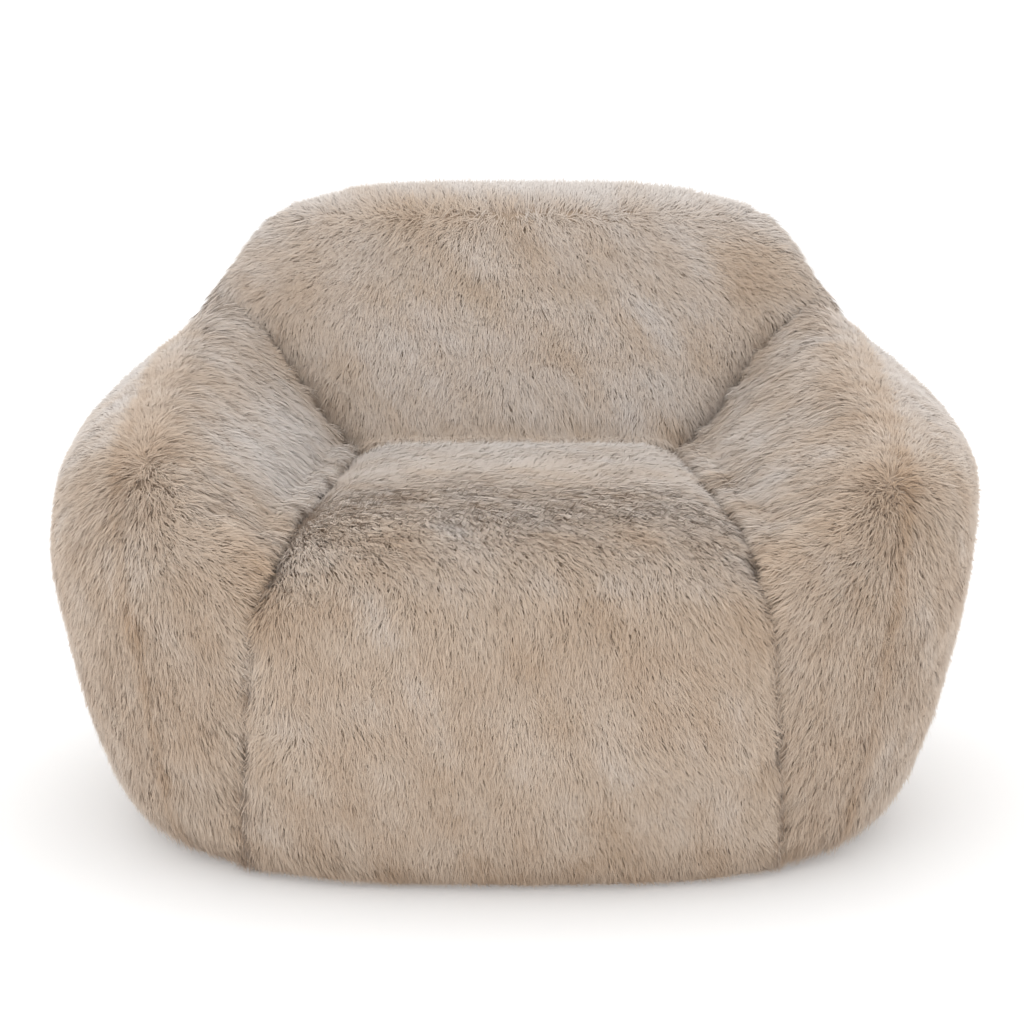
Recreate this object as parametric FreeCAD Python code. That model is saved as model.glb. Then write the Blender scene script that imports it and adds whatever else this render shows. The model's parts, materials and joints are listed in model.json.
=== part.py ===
import FreeCAD, Part
import math
import os

from FreeCAD import Vector

# Faux fur bean bag chair, in millimetres. +Z is up and -Y is the front. The origin is on the floor,
# under the middle of the chair. The chair is four stuffed bags (seat, back, two arms) that stand side by
# side in one fur cover. Every size that can be set by itself is named here.

# ---- overall, over the tips of the pile ----
WIDTH = 1100.0
DEPTH = 935.0
HEIGHT = 720.0

# ---- cover, liners and fill ----
COVER = 24.0            # backing and pile together
COVER_GAP = 0.5         # between a cover and the bag in it
LINER = 2.0             # wall of an inner bag
FILL_GAP = 0.5          # between a bag and its beads
BAG_GAP = 5.0           # from each bag to the plane between it and the next bag
BASE_PANEL = 3.0        # non-slip fabric on the floor
BASE_GAP = 2.0          # between that fabric and the covers round it

# ---- seat ----
SEAT_HEIGHT = 415.0     # top of the seat
SEAT_BACK_Y = 122.0     # where the seat meets the back
SEAT_FRONT_HALF = 266.0     # half of the seat's width at its front, at seat height
SEAT_REAR_HALF = 205.0      # the same at the back
SEAT_FLARE = 0.10       # the seat's sides lean out by this much towards the floor
SEAT_ROLL = 95.0        # height of the rounded front edge
SEAT_CROWN = 10.0       # the seat is this much higher in its middle

# ---- back ----
BACK_RECLINE = 0.56     # the inside of the back goes this far back for each unit up
BACK_FOOT_SLOPE = 0.15  # the same for the plane between the two bags, below the seat
BACK_FOOT_REACH = 60.0  # the back's cutting shape leans this far forward below the seat, past that plane
BACK_TOP = 85.0         # thickness of the back's rounded rim
BACK_CROWN = 14.0       # the inside of the back stands this far forward in its middle
BACK_WING_ANGLE = 33.0  # the planes between the arms and the back, in plan, in degrees

# ---- arms ----
ARM_FRONT_HEIGHT = 446.0    # crest of an arm at its front
ARM_REAR_HEIGHT = 612.0     # crest of an arm at the back
ARM_FRONT_CREST_X = 450.0
ARM_REAR_CREST_X = 380.0
SIDE_SEAM_X = 425.0     # the seam between an arm's front and its outer side, at arm height
SIDE_SEAM_LEAN = 0.13   # that seam leans in by this much towards the floor

# ---- zip of the cover, at the middle of the back ----
ZIP_LENGTH = 340.0
ZIP_BOTTOM = 165.0      # height of its lower end
ZIP_DEPTH = 20.0        # from the furthest point of the pile to the tape
ZIP_CHANNEL = 20.0      # half of the width of the slot in the fur
ZIP_HEAD_ROOM = 34.0    # the slot runs this far above the zip, for the pull
LINER_ZIP_LENGTH = 260.0
LINER_ZIP_CHANNEL = 9.0
LINER_ZIP_HEIGHT = 215.0    # height of the refill zips
BACK_ZIP_DROP = 80.0    # the back's refill zip is this much lower, clear of the seat's
FILL_ROOM = 2.0         # the beads stay this far from a refill zip
TAPE = 1.0              # thickness of the tape
TEETH = 3.0             # thickness of the teeth
TEETH_WIDTH = 2.7       # width of one row
TEETH_PITCH = 4.0
TEETH_GAP = 0.5         # from the middle of the zip to each row
RUNNING = 0.35          # clearance of the slider
SLIDER_LENGTH = 15.0
SLIDER_HALF = 5.8
SLIDER_PLATE = 1.5
SLIDER_ROOM = 1.0       # from a refill slider's plate to the bag's fabric
SLIDER_CORNER = 2.4     # radius of the plate's corners
SLIDER_END = 4.0        # from the plate's end to the post
SLIDER_SPARE = 2.0      # from the slider to an end stop when it is as far as it goes
BRIDGE_HALF = 1.4       # half of the width of the bridge that holds the pull
BRIDGE_WALL = 0.9       # its wall round the pin
POST_HALF = 0.2         # the slider's post, between the rows
STOP = 5.0              # height of an end stop
STOP_GAP = 0.3          # from a stop to the teeth
PULL_LENGTH = 28.0
PULL_HALF = 3.6
PULL_THICKNESS = 1.6
PULL_CORNER = 2.8       # radius at the pull's free end
PULL_HOLE = 1.7         # radius of its hole
PULL_HOLE_INSET = 5.0   # from that end to the hole's middle
PULL_SIDE_GAP = 0.4     # from each leg to the bridge
PULL_HEAD = 1.1         # the legs pass the pin by this much
FORK_DEPTH = 4.6        # from the pin to the bottom of the fork
PIN_RADIUS = 0.9
PIN_CLEARANCE = 0.25

# The outer hull: height, half width, front and rear, as shares of the overall sizes, and how square the
# plan outline is there (2 is an ellipse).
HULL = (
    (0.000, 0.772, -0.800, 0.800, 2.7),
    (0.040, 0.842, -0.868, 0.862, 2.7),
    (0.125, 0.902, -0.930, 0.918, 2.75),
    (0.278, 0.957, -0.982, 0.972, 2.85),
    (0.410, 0.990, -0.998, 0.996, 3.0),
    (0.514, 1.000, -0.990, 1.000, 3.1),
    (0.597, 0.982, -0.925, 0.995, 3.1),
    (0.667, 0.932, -0.800, 0.985, 3.1),
    (0.736, 0.850, -0.590, 0.965, 3.1),
    (0.806, 0.750, -0.290, 0.935, 3.1),
    (0.878, 0.655, 0.050, 0.895, 3.1),
    (0.945, 0.578, 0.300, 0.845, 3.1),
    (0.984, 0.460, 0.460, 0.790, 3.1),
    (1.000, 0.300, 0.620, 0.710, 3.1),
)
PLAN_POINTS = 24        # points of that outline
CROWN_HALF = 12.0       # least half width of an outline that is drawn in, at the very top
CROWN_SPREAD = 12.0     # how much wider that is at the floor, so that no two outlines cross
BELOW = 40.0            # how far cutting shapes pass below the floor
FAR = 2000.0            # larger than the chair
X_AXIS = Vector(1, 0, 0)
Z_AXIS = Vector(0, 0, 1)


def spline(points, closed=False):
    """A smooth curve through the points."""
    curve = Part.BSplineCurve()
    curve.interpolate(Points=points, PeriodicFlag=closed)
    return curve.toShape()


def half_space(point, outward):
    """A block that fills one side of a plane; outward points away from the block."""
    block = Part.makeBox(2 * FAR, 2 * FAR, FAR, Vector(-FAR, -FAR, -FAR))
    turn = FreeCAD.Rotation(Z_AXIS, outward)
    return block.transformed(FreeCAD.Placement(point, turn).toMatrix())


def box(low, high):
    """A box from its lowest to its highest corner."""
    low, high = Vector(*low), Vector(*high)
    return Part.makeBox(high.x - low.x, high.y - low.y, high.z - low.z, low)


def plan_outline(half_width, front, rear, height, square):
    """A rounded square, closed, at one height."""
    middle = (front + rear) / 2
    half_depth = (rear - front) / 2
    points = []
    for i in range(PLAN_POINTS):
        angle = 2 * math.pi * i / PLAN_POINTS
        c, s = math.cos(angle), math.sin(angle)
        reach = (abs(c / half_width) ** square + abs(s / half_depth) ** square) ** (-1 / square)
        points.append(Vector(reach * c, middle + reach * s, height))
    return Part.Wire(spline(points, closed=True))


def hull(inset):
    """The chair's outer shape with its hollow still full, drawn in by inset all round and on top."""
    wires = []
    for height, width, front, rear, square in HULL:
        half_width = width * WIDTH / 2 - inset
        y_front = front * DEPTH / 2 + inset
        y_rear = rear * DEPTH / 2 - inset
        least = CROWN_HALF + CROWN_SPREAD * (1 - height)
        half_width = max(half_width, least)
        spare = least - (y_rear - y_front) / 2
        if spare > 0:
            y_front -= spare
            y_rear += spare
        if not wires:
            wires.append(plan_outline(half_width, y_front, y_rear, -BELOW, square))
        wires.append(plan_outline(half_width, y_front, y_rear, height * (HEIGHT - inset), square))
    return Part.makeLoft(wires, True, False)


def ruled_through(profiles, smooth=False):
    """A solid through closed profiles with the same number of edges."""
    return Part.makeLoft([Part.Wire(edges) for edges in profiles], True, not smooth)


def closed_below(curve, first, last, corners):
    """A curve from first to last, closed by straight lines through the corners."""
    stops = [last] + corners + [first]
    return [curve] + [Part.makeLine(a, b) for a, b in zip(stops, stops[1:])]


def seat_tool(inset):
    """Everything below the seat's top and its rolled front edge."""
    profiles = []
    for x, crown in ((-WIDTH / 2, -SEAT_CROWN), (0.0, SEAT_CROWN), (WIDTH / 2, -SEAT_CROWN)):
        top = SEAT_HEIGHT - inset + crown / 2
        front = -DEPTH / 2 + inset
        points = [
            Vector(x, front - 40, top - 1.90 * SEAT_ROLL),
            Vector(x, front + 4, top - 0.95 * SEAT_ROLL),
            Vector(x, front + 40, top - 0.38 * SEAT_ROLL),
            Vector(x, front + 105, top - 0.06 * SEAT_ROLL),
            Vector(x, front + 220, top + 4),
            Vector(x, front + 400, top + 7),
            Vector(x, SEAT_BACK_Y + 90, top + 5),
        ]
        corners = [Vector(x, SEAT_BACK_Y + 90, -2 * BELOW), Vector(x, front - 40, -2 * BELOW)]
        profiles.append(closed_below(spline(points), points[0], points[-1], corners))
    return ruled_through(profiles, smooth=True)


def back_tool(inset):
    """Everything behind the inside of the back and below its rounded rim."""
    profiles = []
    rise = HEIGHT - SEAT_HEIGHT
    for x, crown in ((-WIDTH / 2, -BACK_CROWN), (0.0, BACK_CROWN), (WIDTH / 2, -BACK_CROWN)):
        top = HEIGHT - inset
        foot = SEAT_BACK_Y + inset * 1.1 - crown / 2

        def inside(share):
            return foot + BACK_RECLINE * rise * share

        points = [
            Vector(x, inside(-0.55) + 24, SEAT_HEIGHT - 0.55 * rise),
            Vector(x, inside(-0.10) + 3, SEAT_HEIGHT - 0.10 * rise),
            Vector(x, inside(0.28), SEAT_HEIGHT + 0.28 * rise),
            Vector(x, inside(0.62) + 1, SEAT_HEIGHT + 0.62 * rise),
            Vector(x, inside(0.84) + 6, top - 0.13 * rise),
            Vector(x, inside(0.93) + 0.28 * BACK_TOP, top - 0.025 * rise),
            Vector(x, inside(0.95) + 0.75 * BACK_TOP, top),
            Vector(x, inside(0.95) + 1.25 * BACK_TOP, top - 0.05 * rise),
            Vector(x, inside(0.95) + 1.75 * BACK_TOP, top - 0.22 * rise),
        ]
        far = DEPTH
        corners = [
            Vector(x, far, SEAT_HEIGHT),
            Vector(x, far, -2 * BELOW),
            Vector(x, points[0].y - BACK_FOOT_REACH, -2 * BELOW),
        ]
        profiles.append(closed_below(spline(points), points[0], points[-1], corners))
    return ruled_through(profiles, smooth=True)


def arm_tool(inset):
    """Everything below the top of the right arm, from its crevice beside the seat over its crest."""
    profiles = []
    ends = (
        (-DEPTH / 2 - 20, SEAT_FRONT_HALF + 8, ARM_FRONT_CREST_X, ARM_FRONT_HEIGHT, SEAT_HEIGHT - 20),
        (DEPTH / 2, SEAT_REAR_HALF - 36, ARM_REAR_CREST_X - 12, ARM_REAR_HEIGHT + 30, SEAT_HEIGHT - 4),
    )
    for y, crevice_x, crest_x, crest, crevice in ends:
        run = crest_x - crevice_x
        rise = crest - crevice
        outer = WIDTH / 2 + 60 - crest_x
        points = [
            Vector(crevice_x - 0.45 * run, y, crevice - 0.50 * rise),
            Vector(crevice_x, y, crevice),
            Vector(crevice_x + 0.36 * run, y, crevice + 0.46 * rise),
            Vector(crevice_x + 0.72 * run, y, crevice + 0.88 * rise),
            Vector(crest_x, y, crest),
            Vector(crest_x + 0.40 * outer, y, crest - 0.22 * rise - 6),
            Vector(crest_x + outer, y, crest - 0.75 * rise - 40),
        ]
        points = [p - Vector(0, 0, inset) for p in points]
        low = -2 * BELOW
        corners = [Vector(points[-1].x, y, low), Vector(points[0].x, y, low)]
        profiles.append(closed_below(spline(points), points[0], points[-1], corners))
    return ruled_through(profiles)


def seat_side_plane():
    """A point on the plane between the seat and the right arm, and its normal, towards the arm."""
    front_y = -DEPTH / 2 + 100
    point = Vector(SEAT_FRONT_HALF, front_y, SEAT_HEIGHT)
    taper = (SEAT_FRONT_HALF - SEAT_REAR_HALF) / (SEAT_BACK_Y - front_y)
    normal = Vector(1, taper, SEAT_FLARE).normalize()
    return point, normal


def back_plane():
    """A point on the plane between the seat and the back, and its normal, towards the back."""
    return Vector(0, SEAT_BACK_Y, SEAT_HEIGHT), Vector(0, 1, -BACK_FOOT_SLOPE).normalize()


def wing_plane():
    """A point on the plane between the right arm and the back, and its normal, towards the back."""
    angle = math.radians(BACK_WING_ANGLE)
    return Vector(SEAT_REAR_HALF - 14, SEAT_BACK_Y + 4, 0), Vector(-math.sin(angle), math.cos(angle), 0)


def side_seam_plane():
    """A point on the plane through the right side seam, and its normal, towards the outer side."""
    return Vector(SIDE_SEAM_X, 0, ARM_FRONT_HEIGHT), Vector(1, 0.03, -SIDE_SEAM_LEAN).normalize()


def crest_plane():
    """A point on the plane through the seam behind the back's rim, and its normal, to the rear."""
    rise = HEIGHT - SEAT_HEIGHT
    rim = SEAT_BACK_Y + BACK_RECLINE * rise * 0.95 + 0.95 * BACK_TOP
    return Vector(0, rim, HEIGHT), Vector(0, 1, -0.25).normalize()


def mirrored_plane(plane):
    """The same plane on the left side."""
    point, normal = plane
    return Vector(-point.x, point.y, point.z), Vector(-normal.x, normal.y, normal.z)


def before(plane, gap):
    """The side of a plane that its normal points away from, kept gap away from it."""
    point, normal = plane
    return half_space(point - normal * gap, normal)


def beyond(plane, gap):
    """The side of a plane that its normal points to, kept gap away from it."""
    point, normal = plane
    return half_space(point + normal * gap, normal * -1)


def common(shape, others):
    """What lies in all the shapes."""
    for other in others:
        shape = shape.common(other)
    return shape


def largest(shape):
    """The shape's largest solid."""
    return max(shape.Solids, key=lambda solid: solid.Volume)


def above(height):
    """Everything above a height."""
    return half_space(Vector(0, 0, height), Vector(0, 0, -1))


def seat_pod(inset, gap, floor):
    """The seat's bag, or the outer shape of its cover when inset is 0."""
    side = seat_side_plane()
    limits = [seat_tool(inset), before(side, gap), before(mirrored_plane(side), gap)]
    return largest(common(hull(inset), limits + [before(back_plane(), gap), above(floor)]))


def back_pod(inset, gap, floor):
    """The bag in the back, between the two arms' bags."""
    wing = wing_plane()
    limits = [back_tool(inset), beyond(wing, gap), beyond(mirrored_plane(wing), gap)]
    return largest(common(hull(inset), limits + [beyond(back_plane(), gap), above(floor)]))


def arm_pod(inset, gap, floor):
    """The right arm's bag."""
    limits = [arm_tool(inset), beyond(seat_side_plane(), gap), before(wing_plane(), gap), above(floor)]
    return largest(common(hull(inset), limits))


def mirror(shape):
    """The same piece on the other side of the chair."""
    return shape.mirror(Vector(0, 0, 0), X_AXIS)


def teeth_row(length):
    """One row of teeth, to the +X side: a rail with a tooth at each pitch."""
    inner = TEETH_GAP
    notch = TEETH_GAP + 0.55 * TEETH_WIDTH
    outer = TEETH_GAP + TEETH_WIDTH
    points = [Vector(outer, -TEETH / 2, 0)]
    for i in range(int(length // TEETH_PITCH)):
        low = i * TEETH_PITCH
        for x, z in ((notch, low), (inner, low + 0.35), (inner, low + 0.50 * TEETH_PITCH),
                     (notch, low + 0.60 * TEETH_PITCH)):
            points.append(Vector(x, -TEETH / 2, z))
    points.append(Vector(notch, -TEETH / 2, length))
    points.append(Vector(outer, -TEETH / 2, length))
    return Part.Face(Part.makePolygon(points + points[:1])).extrude(Vector(0, TEETH, 0))


def slider_body():
    """A slider: a plate on each face of the teeth, joined by a post that runs between the rows."""
    reach = TEETH / 2 + RUNNING
    plates = []
    for low in (reach, -reach - SLIDER_PLATE):
        plate = box((-SLIDER_HALF, low, 0), (SLIDER_HALF, low + SLIDER_PLATE, SLIDER_LENGTH))
        corners = [e for e in plate.Edges if abs(e.Vertexes[0].Y - e.Vertexes[1].Y) > 0.1]
        plates.append(plate.makeFillet(SLIDER_CORNER, corners))
    bite = SLIDER_PLATE / 3
    post = box((-POST_HALF, -reach - bite, SLIDER_END), (POST_HALF, reach + bite, SLIDER_LENGTH - SLIDER_END))
    return plates[0].fuse([plates[1], post]).removeSplitter()


def pin_y():
    """How far the pull's pin is from the middle of the teeth."""
    return TEETH / 2 + RUNNING + SLIDER_PLATE + PIN_RADIUS + PIN_CLEARANCE + BRIDGE_WALL


def pull_slider():
    """The outer slider, with the bridge that holds its pull."""
    plate_face = TEETH / 2 + RUNNING + SLIDER_PLATE
    mid = SLIDER_LENGTH / 2
    wall = PIN_RADIUS + PIN_CLEARANCE + BRIDGE_WALL
    half, bite = BRIDGE_HALF, SLIDER_PLATE / 4
    bridge = box((-half, plate_face - bite, mid - wall), (half, pin_y(), mid + wall))
    cap = Part.makeCylinder(wall, 2 * half, Vector(-half, pin_y(), mid), X_AXIS)
    eye = Part.makeCylinder(PIN_RADIUS + PIN_CLEARANCE, 4 * half, Vector(-2 * half, pin_y(), mid), X_AXIS)
    return slider_body().fuse([bridge, cap]).cut(eye).removeSplitter()


def pull():
    """The pull tab: a pin through the bridge between two legs, and a tab with a hole."""
    mid = SLIDER_LENGTH / 2
    y, half = pin_y(), PULL_THICKNESS / 2
    inner = BRIDGE_HALF + PULL_SIDE_GAP
    tab = box((-PULL_HALF, y - half, mid - PULL_LENGTH), (PULL_HALF, y + half, mid + PULL_HEAD))
    across = [e for e in tab.Edges if abs(e.Vertexes[0].Y - e.Vertexes[1].Y) > 0.1]
    low = [e for e in across if e.Vertexes[0].Z < mid - PULL_LENGTH / 2]
    tab = tab.makeFillet(PULL_CORNER, low)
    thick = PULL_THICKNESS
    fork = box((-inner, y - thick, mid - FORK_DEPTH), (inner, y + thick, mid + 2 * PULL_HEAD))
    hole_at = Vector(0, y - thick, mid - PULL_LENGTH + PULL_HOLE_INSET)
    hole = Part.makeCylinder(PULL_HOLE, 2 * thick, hole_at, Vector(0, 1, 0))
    reach = inner + PULL_SIDE_GAP
    pin = Part.makeCylinder(PIN_RADIUS, 2 * reach, Vector(-reach, y, mid), X_AXIS)
    return tab.cut(fork).cut(hole).fuse(pin).removeSplitter()


def zip_parts(length, half_width):
    """The parts of a zip along +Z, with +Y outwards and its lower end at the origin."""
    inner = TEETH_GAP + TEETH_WIDTH
    tape = box((inner, -TAPE / 2, 0), (half_width, TAPE / 2, length))
    row = teeth_row(length - 2 * STOP).translated(Vector(0, 0, STOP))
    stop = box((-inner, -TEETH / 2, 0), (inner, TEETH / 2, STOP - STOP_GAP))
    lift = Vector(0, 0, length - STOP + STOP_GAP)
    return {
        "tape": tape,
        "teeth": row,
        "bottom_stop": stop,
        "top_stop": stop.translated(lift),
    }


def slider_rest(length):
    """How far up the zip the slider rests when the zip is closed."""
    return length - STOP - SLIDER_LENGTH - SLIDER_SPARE


def zip_frame(origin, along, outward):
    """The placement that lays a zip on a surface."""
    across = outward.cross(along)
    matrix = FreeCAD.Matrix(
        across.x, outward.x, along.x, origin.x,
        across.y, outward.y, along.y, origin.y,
        across.z, outward.z, along.z, origin.z,
        0, 0, 0, 1,
    )
    return matrix


def placed(shape, matrix):
    """A copy of a shape moved by a matrix."""
    return shape.transformed(matrix)


def liner_zip(plane, toward, along, start):
    """The refill zip in a bag's flat side: its three nodes, the slot in the bag and the room in the fill."""
    point, normal = plane
    outward = normal * toward
    wall_middle = BAG_GAP + LINER / 2
    along = (along - outward * along.dot(outward)).normalize()
    offset = (start - point).dot(normal)
    origin = start - normal * offset - outward * wall_middle
    matrix = zip_frame(origin, along, outward)
    half = LINER_ZIP_CHANNEL
    parts = zip_parts(LINER_ZIP_LENGTH, half)
    tapes = Part.makeCompound([parts["tape"], mirror(parts["tape"])])
    rows = Part.makeCompound([parts["teeth"], mirror(parts["teeth"]),
                              parts["top_stop"], parts["bottom_stop"]])
    rest = Vector(0, 0, slider_rest(LINER_ZIP_LENGTH))
    depth = TEETH / 2 + RUNNING + SLIDER_PLATE + SLIDER_ROOM
    slot = box((-half, -depth, 0), (half, depth, LINER_ZIP_LENGTH))
    wide, deep, long = half + FILL_ROOM, depth + 2 * FILL_ROOM, LINER_ZIP_LENGTH + FILL_ROOM
    room = box((-wide, -deep, -FILL_ROOM), (wide, deep, long))
    print("zip along", [round(v, 5) for v in along], "travel", round(slider_travel(LINER_ZIP_LENGTH), 2))
    return {
        "tapes": placed(tapes, matrix),
        "teeth": placed(rows, matrix),
        "slider": placed(slider_body().translated(rest), matrix),
        "slot": placed(slot, matrix),
        "room": placed(room, matrix),
    }


def slider_travel(length):
    """How far a slider can run down from its rest."""
    return slider_rest(length) - STOP - SLIDER_SPARE


def bags():
    """Each bag with its liner, its fill and its refill zip."""
    outer = COVER + COVER_GAP
    floor = BASE_PANEL + COVER_GAP
    inner = outer + LINER
    fill = inner + FILL_GAP
    side = seat_side_plane()
    front = -DEPTH / 2
    side_start = Vector(SEAT_FRONT_HALF, front + 150, LINER_ZIP_HEIGHT)
    back_start = Vector(-LINER_ZIP_LENGTH / 2, SEAT_BACK_Y, LINER_ZIP_HEIGHT)
    back_along = Vector(1, 0, 0)
    side_along = Vector(0, 1, 0)
    plan = (
        ("seat", seat_pod, liner_zip(back_plane(), 1, back_along, back_start)),
        ("back", back_pod, liner_zip(back_plane(), -1, back_along, back_start - Vector(0, 0, BACK_ZIP_DROP))),
        ("arm", arm_pod, liner_zip(side, -1, side_along, side_start)),
    )
    nodes = {}
    for name, pod, refill in plan:
        shell = pod(outer, BAG_GAP, floor).cut(pod(inner, BAG_GAP + LINER, floor + LINER))
        beads = pod(fill, BAG_GAP + LINER + FILL_GAP, floor + LINER + FILL_GAP)
        pieces = {
            "liner": largest(shell.cut(refill["slot"])),
            "fill": largest(beads.cut(refill["room"])),
            "zip_tapes": refill["tapes"],
            "zip_teeth": refill["teeth"],
            "zip_slider": refill["slider"],
        }
        for part, shape in pieces.items():
            if name == "arm":
                nodes[f"arm_{part}_right"] = shape
                nodes[f"arm_{part}_left"] = mirror(shape)
            else:
                nodes[f"{name}_{part}"] = shape
    return nodes


def covers():
    """The panels of the fur cover and the base panel."""
    seat = seat_pod(0, 0, 0).cut(seat_pod(COVER, -1, -BELOW / 2))
    arm = arm_pod(0, 0, 0).cut(arm_pod(COVER, -1, -BELOW / 2))
    back = back_pod(0, 0, 0).cut(back_pod(COVER, -1, -BELOW / 2))
    seam = side_seam_plane()
    crest = crest_plane()
    rear = back.common(beyond(crest, 0))
    y = DEPTH / 2 - ZIP_DEPTH
    top = ZIP_BOTTOM + ZIP_LENGTH
    slot = box((-ZIP_CHANNEL, y - COVER, ZIP_BOTTOM), (ZIP_CHANNEL, DEPTH, top))
    head = box((-ZIP_CHANNEL, y + TAPE, ZIP_BOTTOM), (ZIP_CHANNEL, DEPTH, top + ZIP_HEAD_ROOM))
    right_half = half_space(Vector(0, 0, 0), Vector(-1, 0, 0))
    outside = largest(rear.common(right_half).cut(slot).cut(head))
    base = hull(COVER + BASE_GAP).common(box((-WIDTH, -DEPTH, 0), (WIDTH, DEPTH, BASE_PANEL)))
    arm_cover = largest(arm.common(before(seam, 0)))
    side_cover = largest(arm.common(beyond(seam, 0)))
    return {
        "seat_front_cover": largest(seat),
        "inside_back_cover": largest(back.common(before(crest, 0))),
        "arm_cover_right": arm_cover,
        "arm_cover_left": mirror(arm_cover),
        "side_cover_right": side_cover,
        "side_cover_left": mirror(side_cover),
        "outside_back_right": outside,
        "outside_back_left": mirror(outside),
        "base_panel": largest(base),
    }


def cover_zip():
    """The long zip at the middle of the back."""
    origin = Vector(0, DEPTH / 2 - ZIP_DEPTH, ZIP_BOTTOM)
    parts = zip_parts(ZIP_LENGTH, ZIP_CHANNEL)
    rest = slider_rest(ZIP_LENGTH)
    lift = origin + Vector(0, 0, rest)
    pin = lift + Vector(0, pin_y(), SLIDER_LENGTH / 2)
    print("pull pin at", [round(v, 3) for v in pin], "slider travel", round(slider_travel(ZIP_LENGTH), 2))
    return {
        "zip_tape_right": parts["tape"].translated(origin),
        "zip_tape_left": mirror(parts["tape"]).translated(origin),
        "zip_teeth_right": parts["teeth"].translated(origin),
        "zip_teeth_left": mirror(parts["teeth"]).translated(origin),
        "zip_top_stop": parts["top_stop"].translated(origin),
        "zip_bottom_stop": parts["bottom_stop"].translated(origin),
        "zip_slider": pull_slider().translated(lift),
        "zip_pull": pull().translated(lift),
    }


def build():
    """Make every piece and write its file."""
    nodes = covers()
    nodes.update(cover_zip())
    nodes.update(bags())
    os.makedirs("parts", exist_ok=True)
    for name, shape in sorted(nodes.items()):
        volume = sum(solid.Volume for solid in shape.Solids)
        print(f"{name:24s} solids {len(shape.Solids)} valid {shape.isValid()} {volume / 1000:10.1f} cm3")
        shape.exportStep(f"parts/{name}.step")


build()
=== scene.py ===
"""Faux fur bean bag chair: soft bags in a long-pile cover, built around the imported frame."""

import json
import logging
import math
from dataclasses import dataclass
from enum import Enum
from typing import Callable, ClassVar

import bpy
import numpy as np
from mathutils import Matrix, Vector
from mathutils.bvhtree import BVHTree


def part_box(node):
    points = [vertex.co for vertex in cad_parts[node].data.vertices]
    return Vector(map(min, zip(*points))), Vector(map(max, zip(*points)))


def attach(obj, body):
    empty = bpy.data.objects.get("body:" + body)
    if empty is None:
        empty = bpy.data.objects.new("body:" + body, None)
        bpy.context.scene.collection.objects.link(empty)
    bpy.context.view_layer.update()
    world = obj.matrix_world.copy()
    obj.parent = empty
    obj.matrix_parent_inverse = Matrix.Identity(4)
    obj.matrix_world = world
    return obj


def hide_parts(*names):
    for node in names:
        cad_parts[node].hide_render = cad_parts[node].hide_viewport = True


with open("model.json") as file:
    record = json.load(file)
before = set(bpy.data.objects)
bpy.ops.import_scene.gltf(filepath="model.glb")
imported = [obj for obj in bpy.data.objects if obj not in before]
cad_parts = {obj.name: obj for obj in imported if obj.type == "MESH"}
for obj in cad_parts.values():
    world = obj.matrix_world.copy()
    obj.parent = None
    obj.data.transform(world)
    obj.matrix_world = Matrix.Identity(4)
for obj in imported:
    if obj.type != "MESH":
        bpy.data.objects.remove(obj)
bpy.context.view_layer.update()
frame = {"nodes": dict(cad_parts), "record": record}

log = logging.getLogger("bean_bag_chair")
BODY = "chair"
UV_MAP = "OFBake"
FLOOR_CLEARANCE = 0.0008


class Side(Enum):
    """Which side of the chair a mirrored piece is on."""

    RIGHT = 1
    LEFT = -1


# ---------------------------------------------------------------- node helpers


class Nodes:
    """A short way to add and join shader nodes in one tree."""

    def __init__(self, tree: bpy.types.NodeTree) -> None:
        """Starts with an empty tree."""
        self.tree = tree
        tree.nodes.clear()

    def add(self, kind: str, **settings: object) -> bpy.types.Node:
        """Adds a node.

        Args:
            kind: the node's type, such as ShaderNodeMix.
            settings: attributes to set on it.

        Returns:
            The new node.
        """
        node = self.tree.nodes.new(kind)
        for name, value in settings.items():
            setattr(node, name, value)
        return node

    def join(self, source: bpy.types.NodeSocket, target: bpy.types.NodeSocket) -> None:
        """Links an output to an input."""
        self.tree.links.new(source, target)

    def math(self, operation: str, first: object, second: object = None) -> bpy.types.NodeSocket:
        """Adds a Math node.

        Args:
            operation: such as MULTIPLY.
            first: a socket or a number.
            second: a socket or a number, or None where the operation takes one value.

        Returns:
            The result's socket.
        """
        node = self.add("ShaderNodeMath", operation=operation)
        for socket, value in zip(node.inputs, (first, second)):
            if isinstance(value, bpy.types.NodeSocket):
                self.join(value, socket)
            elif value is not None:
                socket.default_value = value
        return node.outputs[0]

    def ramp(self, factor: bpy.types.NodeSocket, stops: list[tuple]) -> bpy.types.NodeSocket:
        """Adds a colour ramp.

        Args:
            factor: what drives it.
            stops: pairs of place and colour, lowest first.

        Returns:
            The colour's socket.
        """
        node = self.add("ShaderNodeValToRGB")
        elements = node.color_ramp.elements
        while len(elements) < len(stops):
            elements.new(1.0)
        for element, (place, color) in zip(elements, stops):
            element.position = place
            element.color = (*color, 1.0)
        self.join(factor, node.inputs[0])
        return node.outputs[0]

    def mix(self, blend: str, factor: object, first: object, second: object) -> bpy.types.NodeSocket:
        """Mixes two colours.

        Args:
            blend: the blend type, such as MULTIPLY.
            factor: a socket or a number.
            first: a socket or a colour.
            second: a socket or a colour.

        Returns:
            The colour's socket.
        """
        node = self.add("ShaderNodeMix", data_type="RGBA", blend_type=blend)
        for socket, value in zip((node.inputs[0], node.inputs[6], node.inputs[7]), (factor, first, second)):
            if isinstance(value, bpy.types.NodeSocket):
                self.join(value, socket)
            elif isinstance(value, tuple):
                socket.default_value = (*value, 1.0)
            else:
                socket.default_value = value
        return node.outputs[2]


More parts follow.
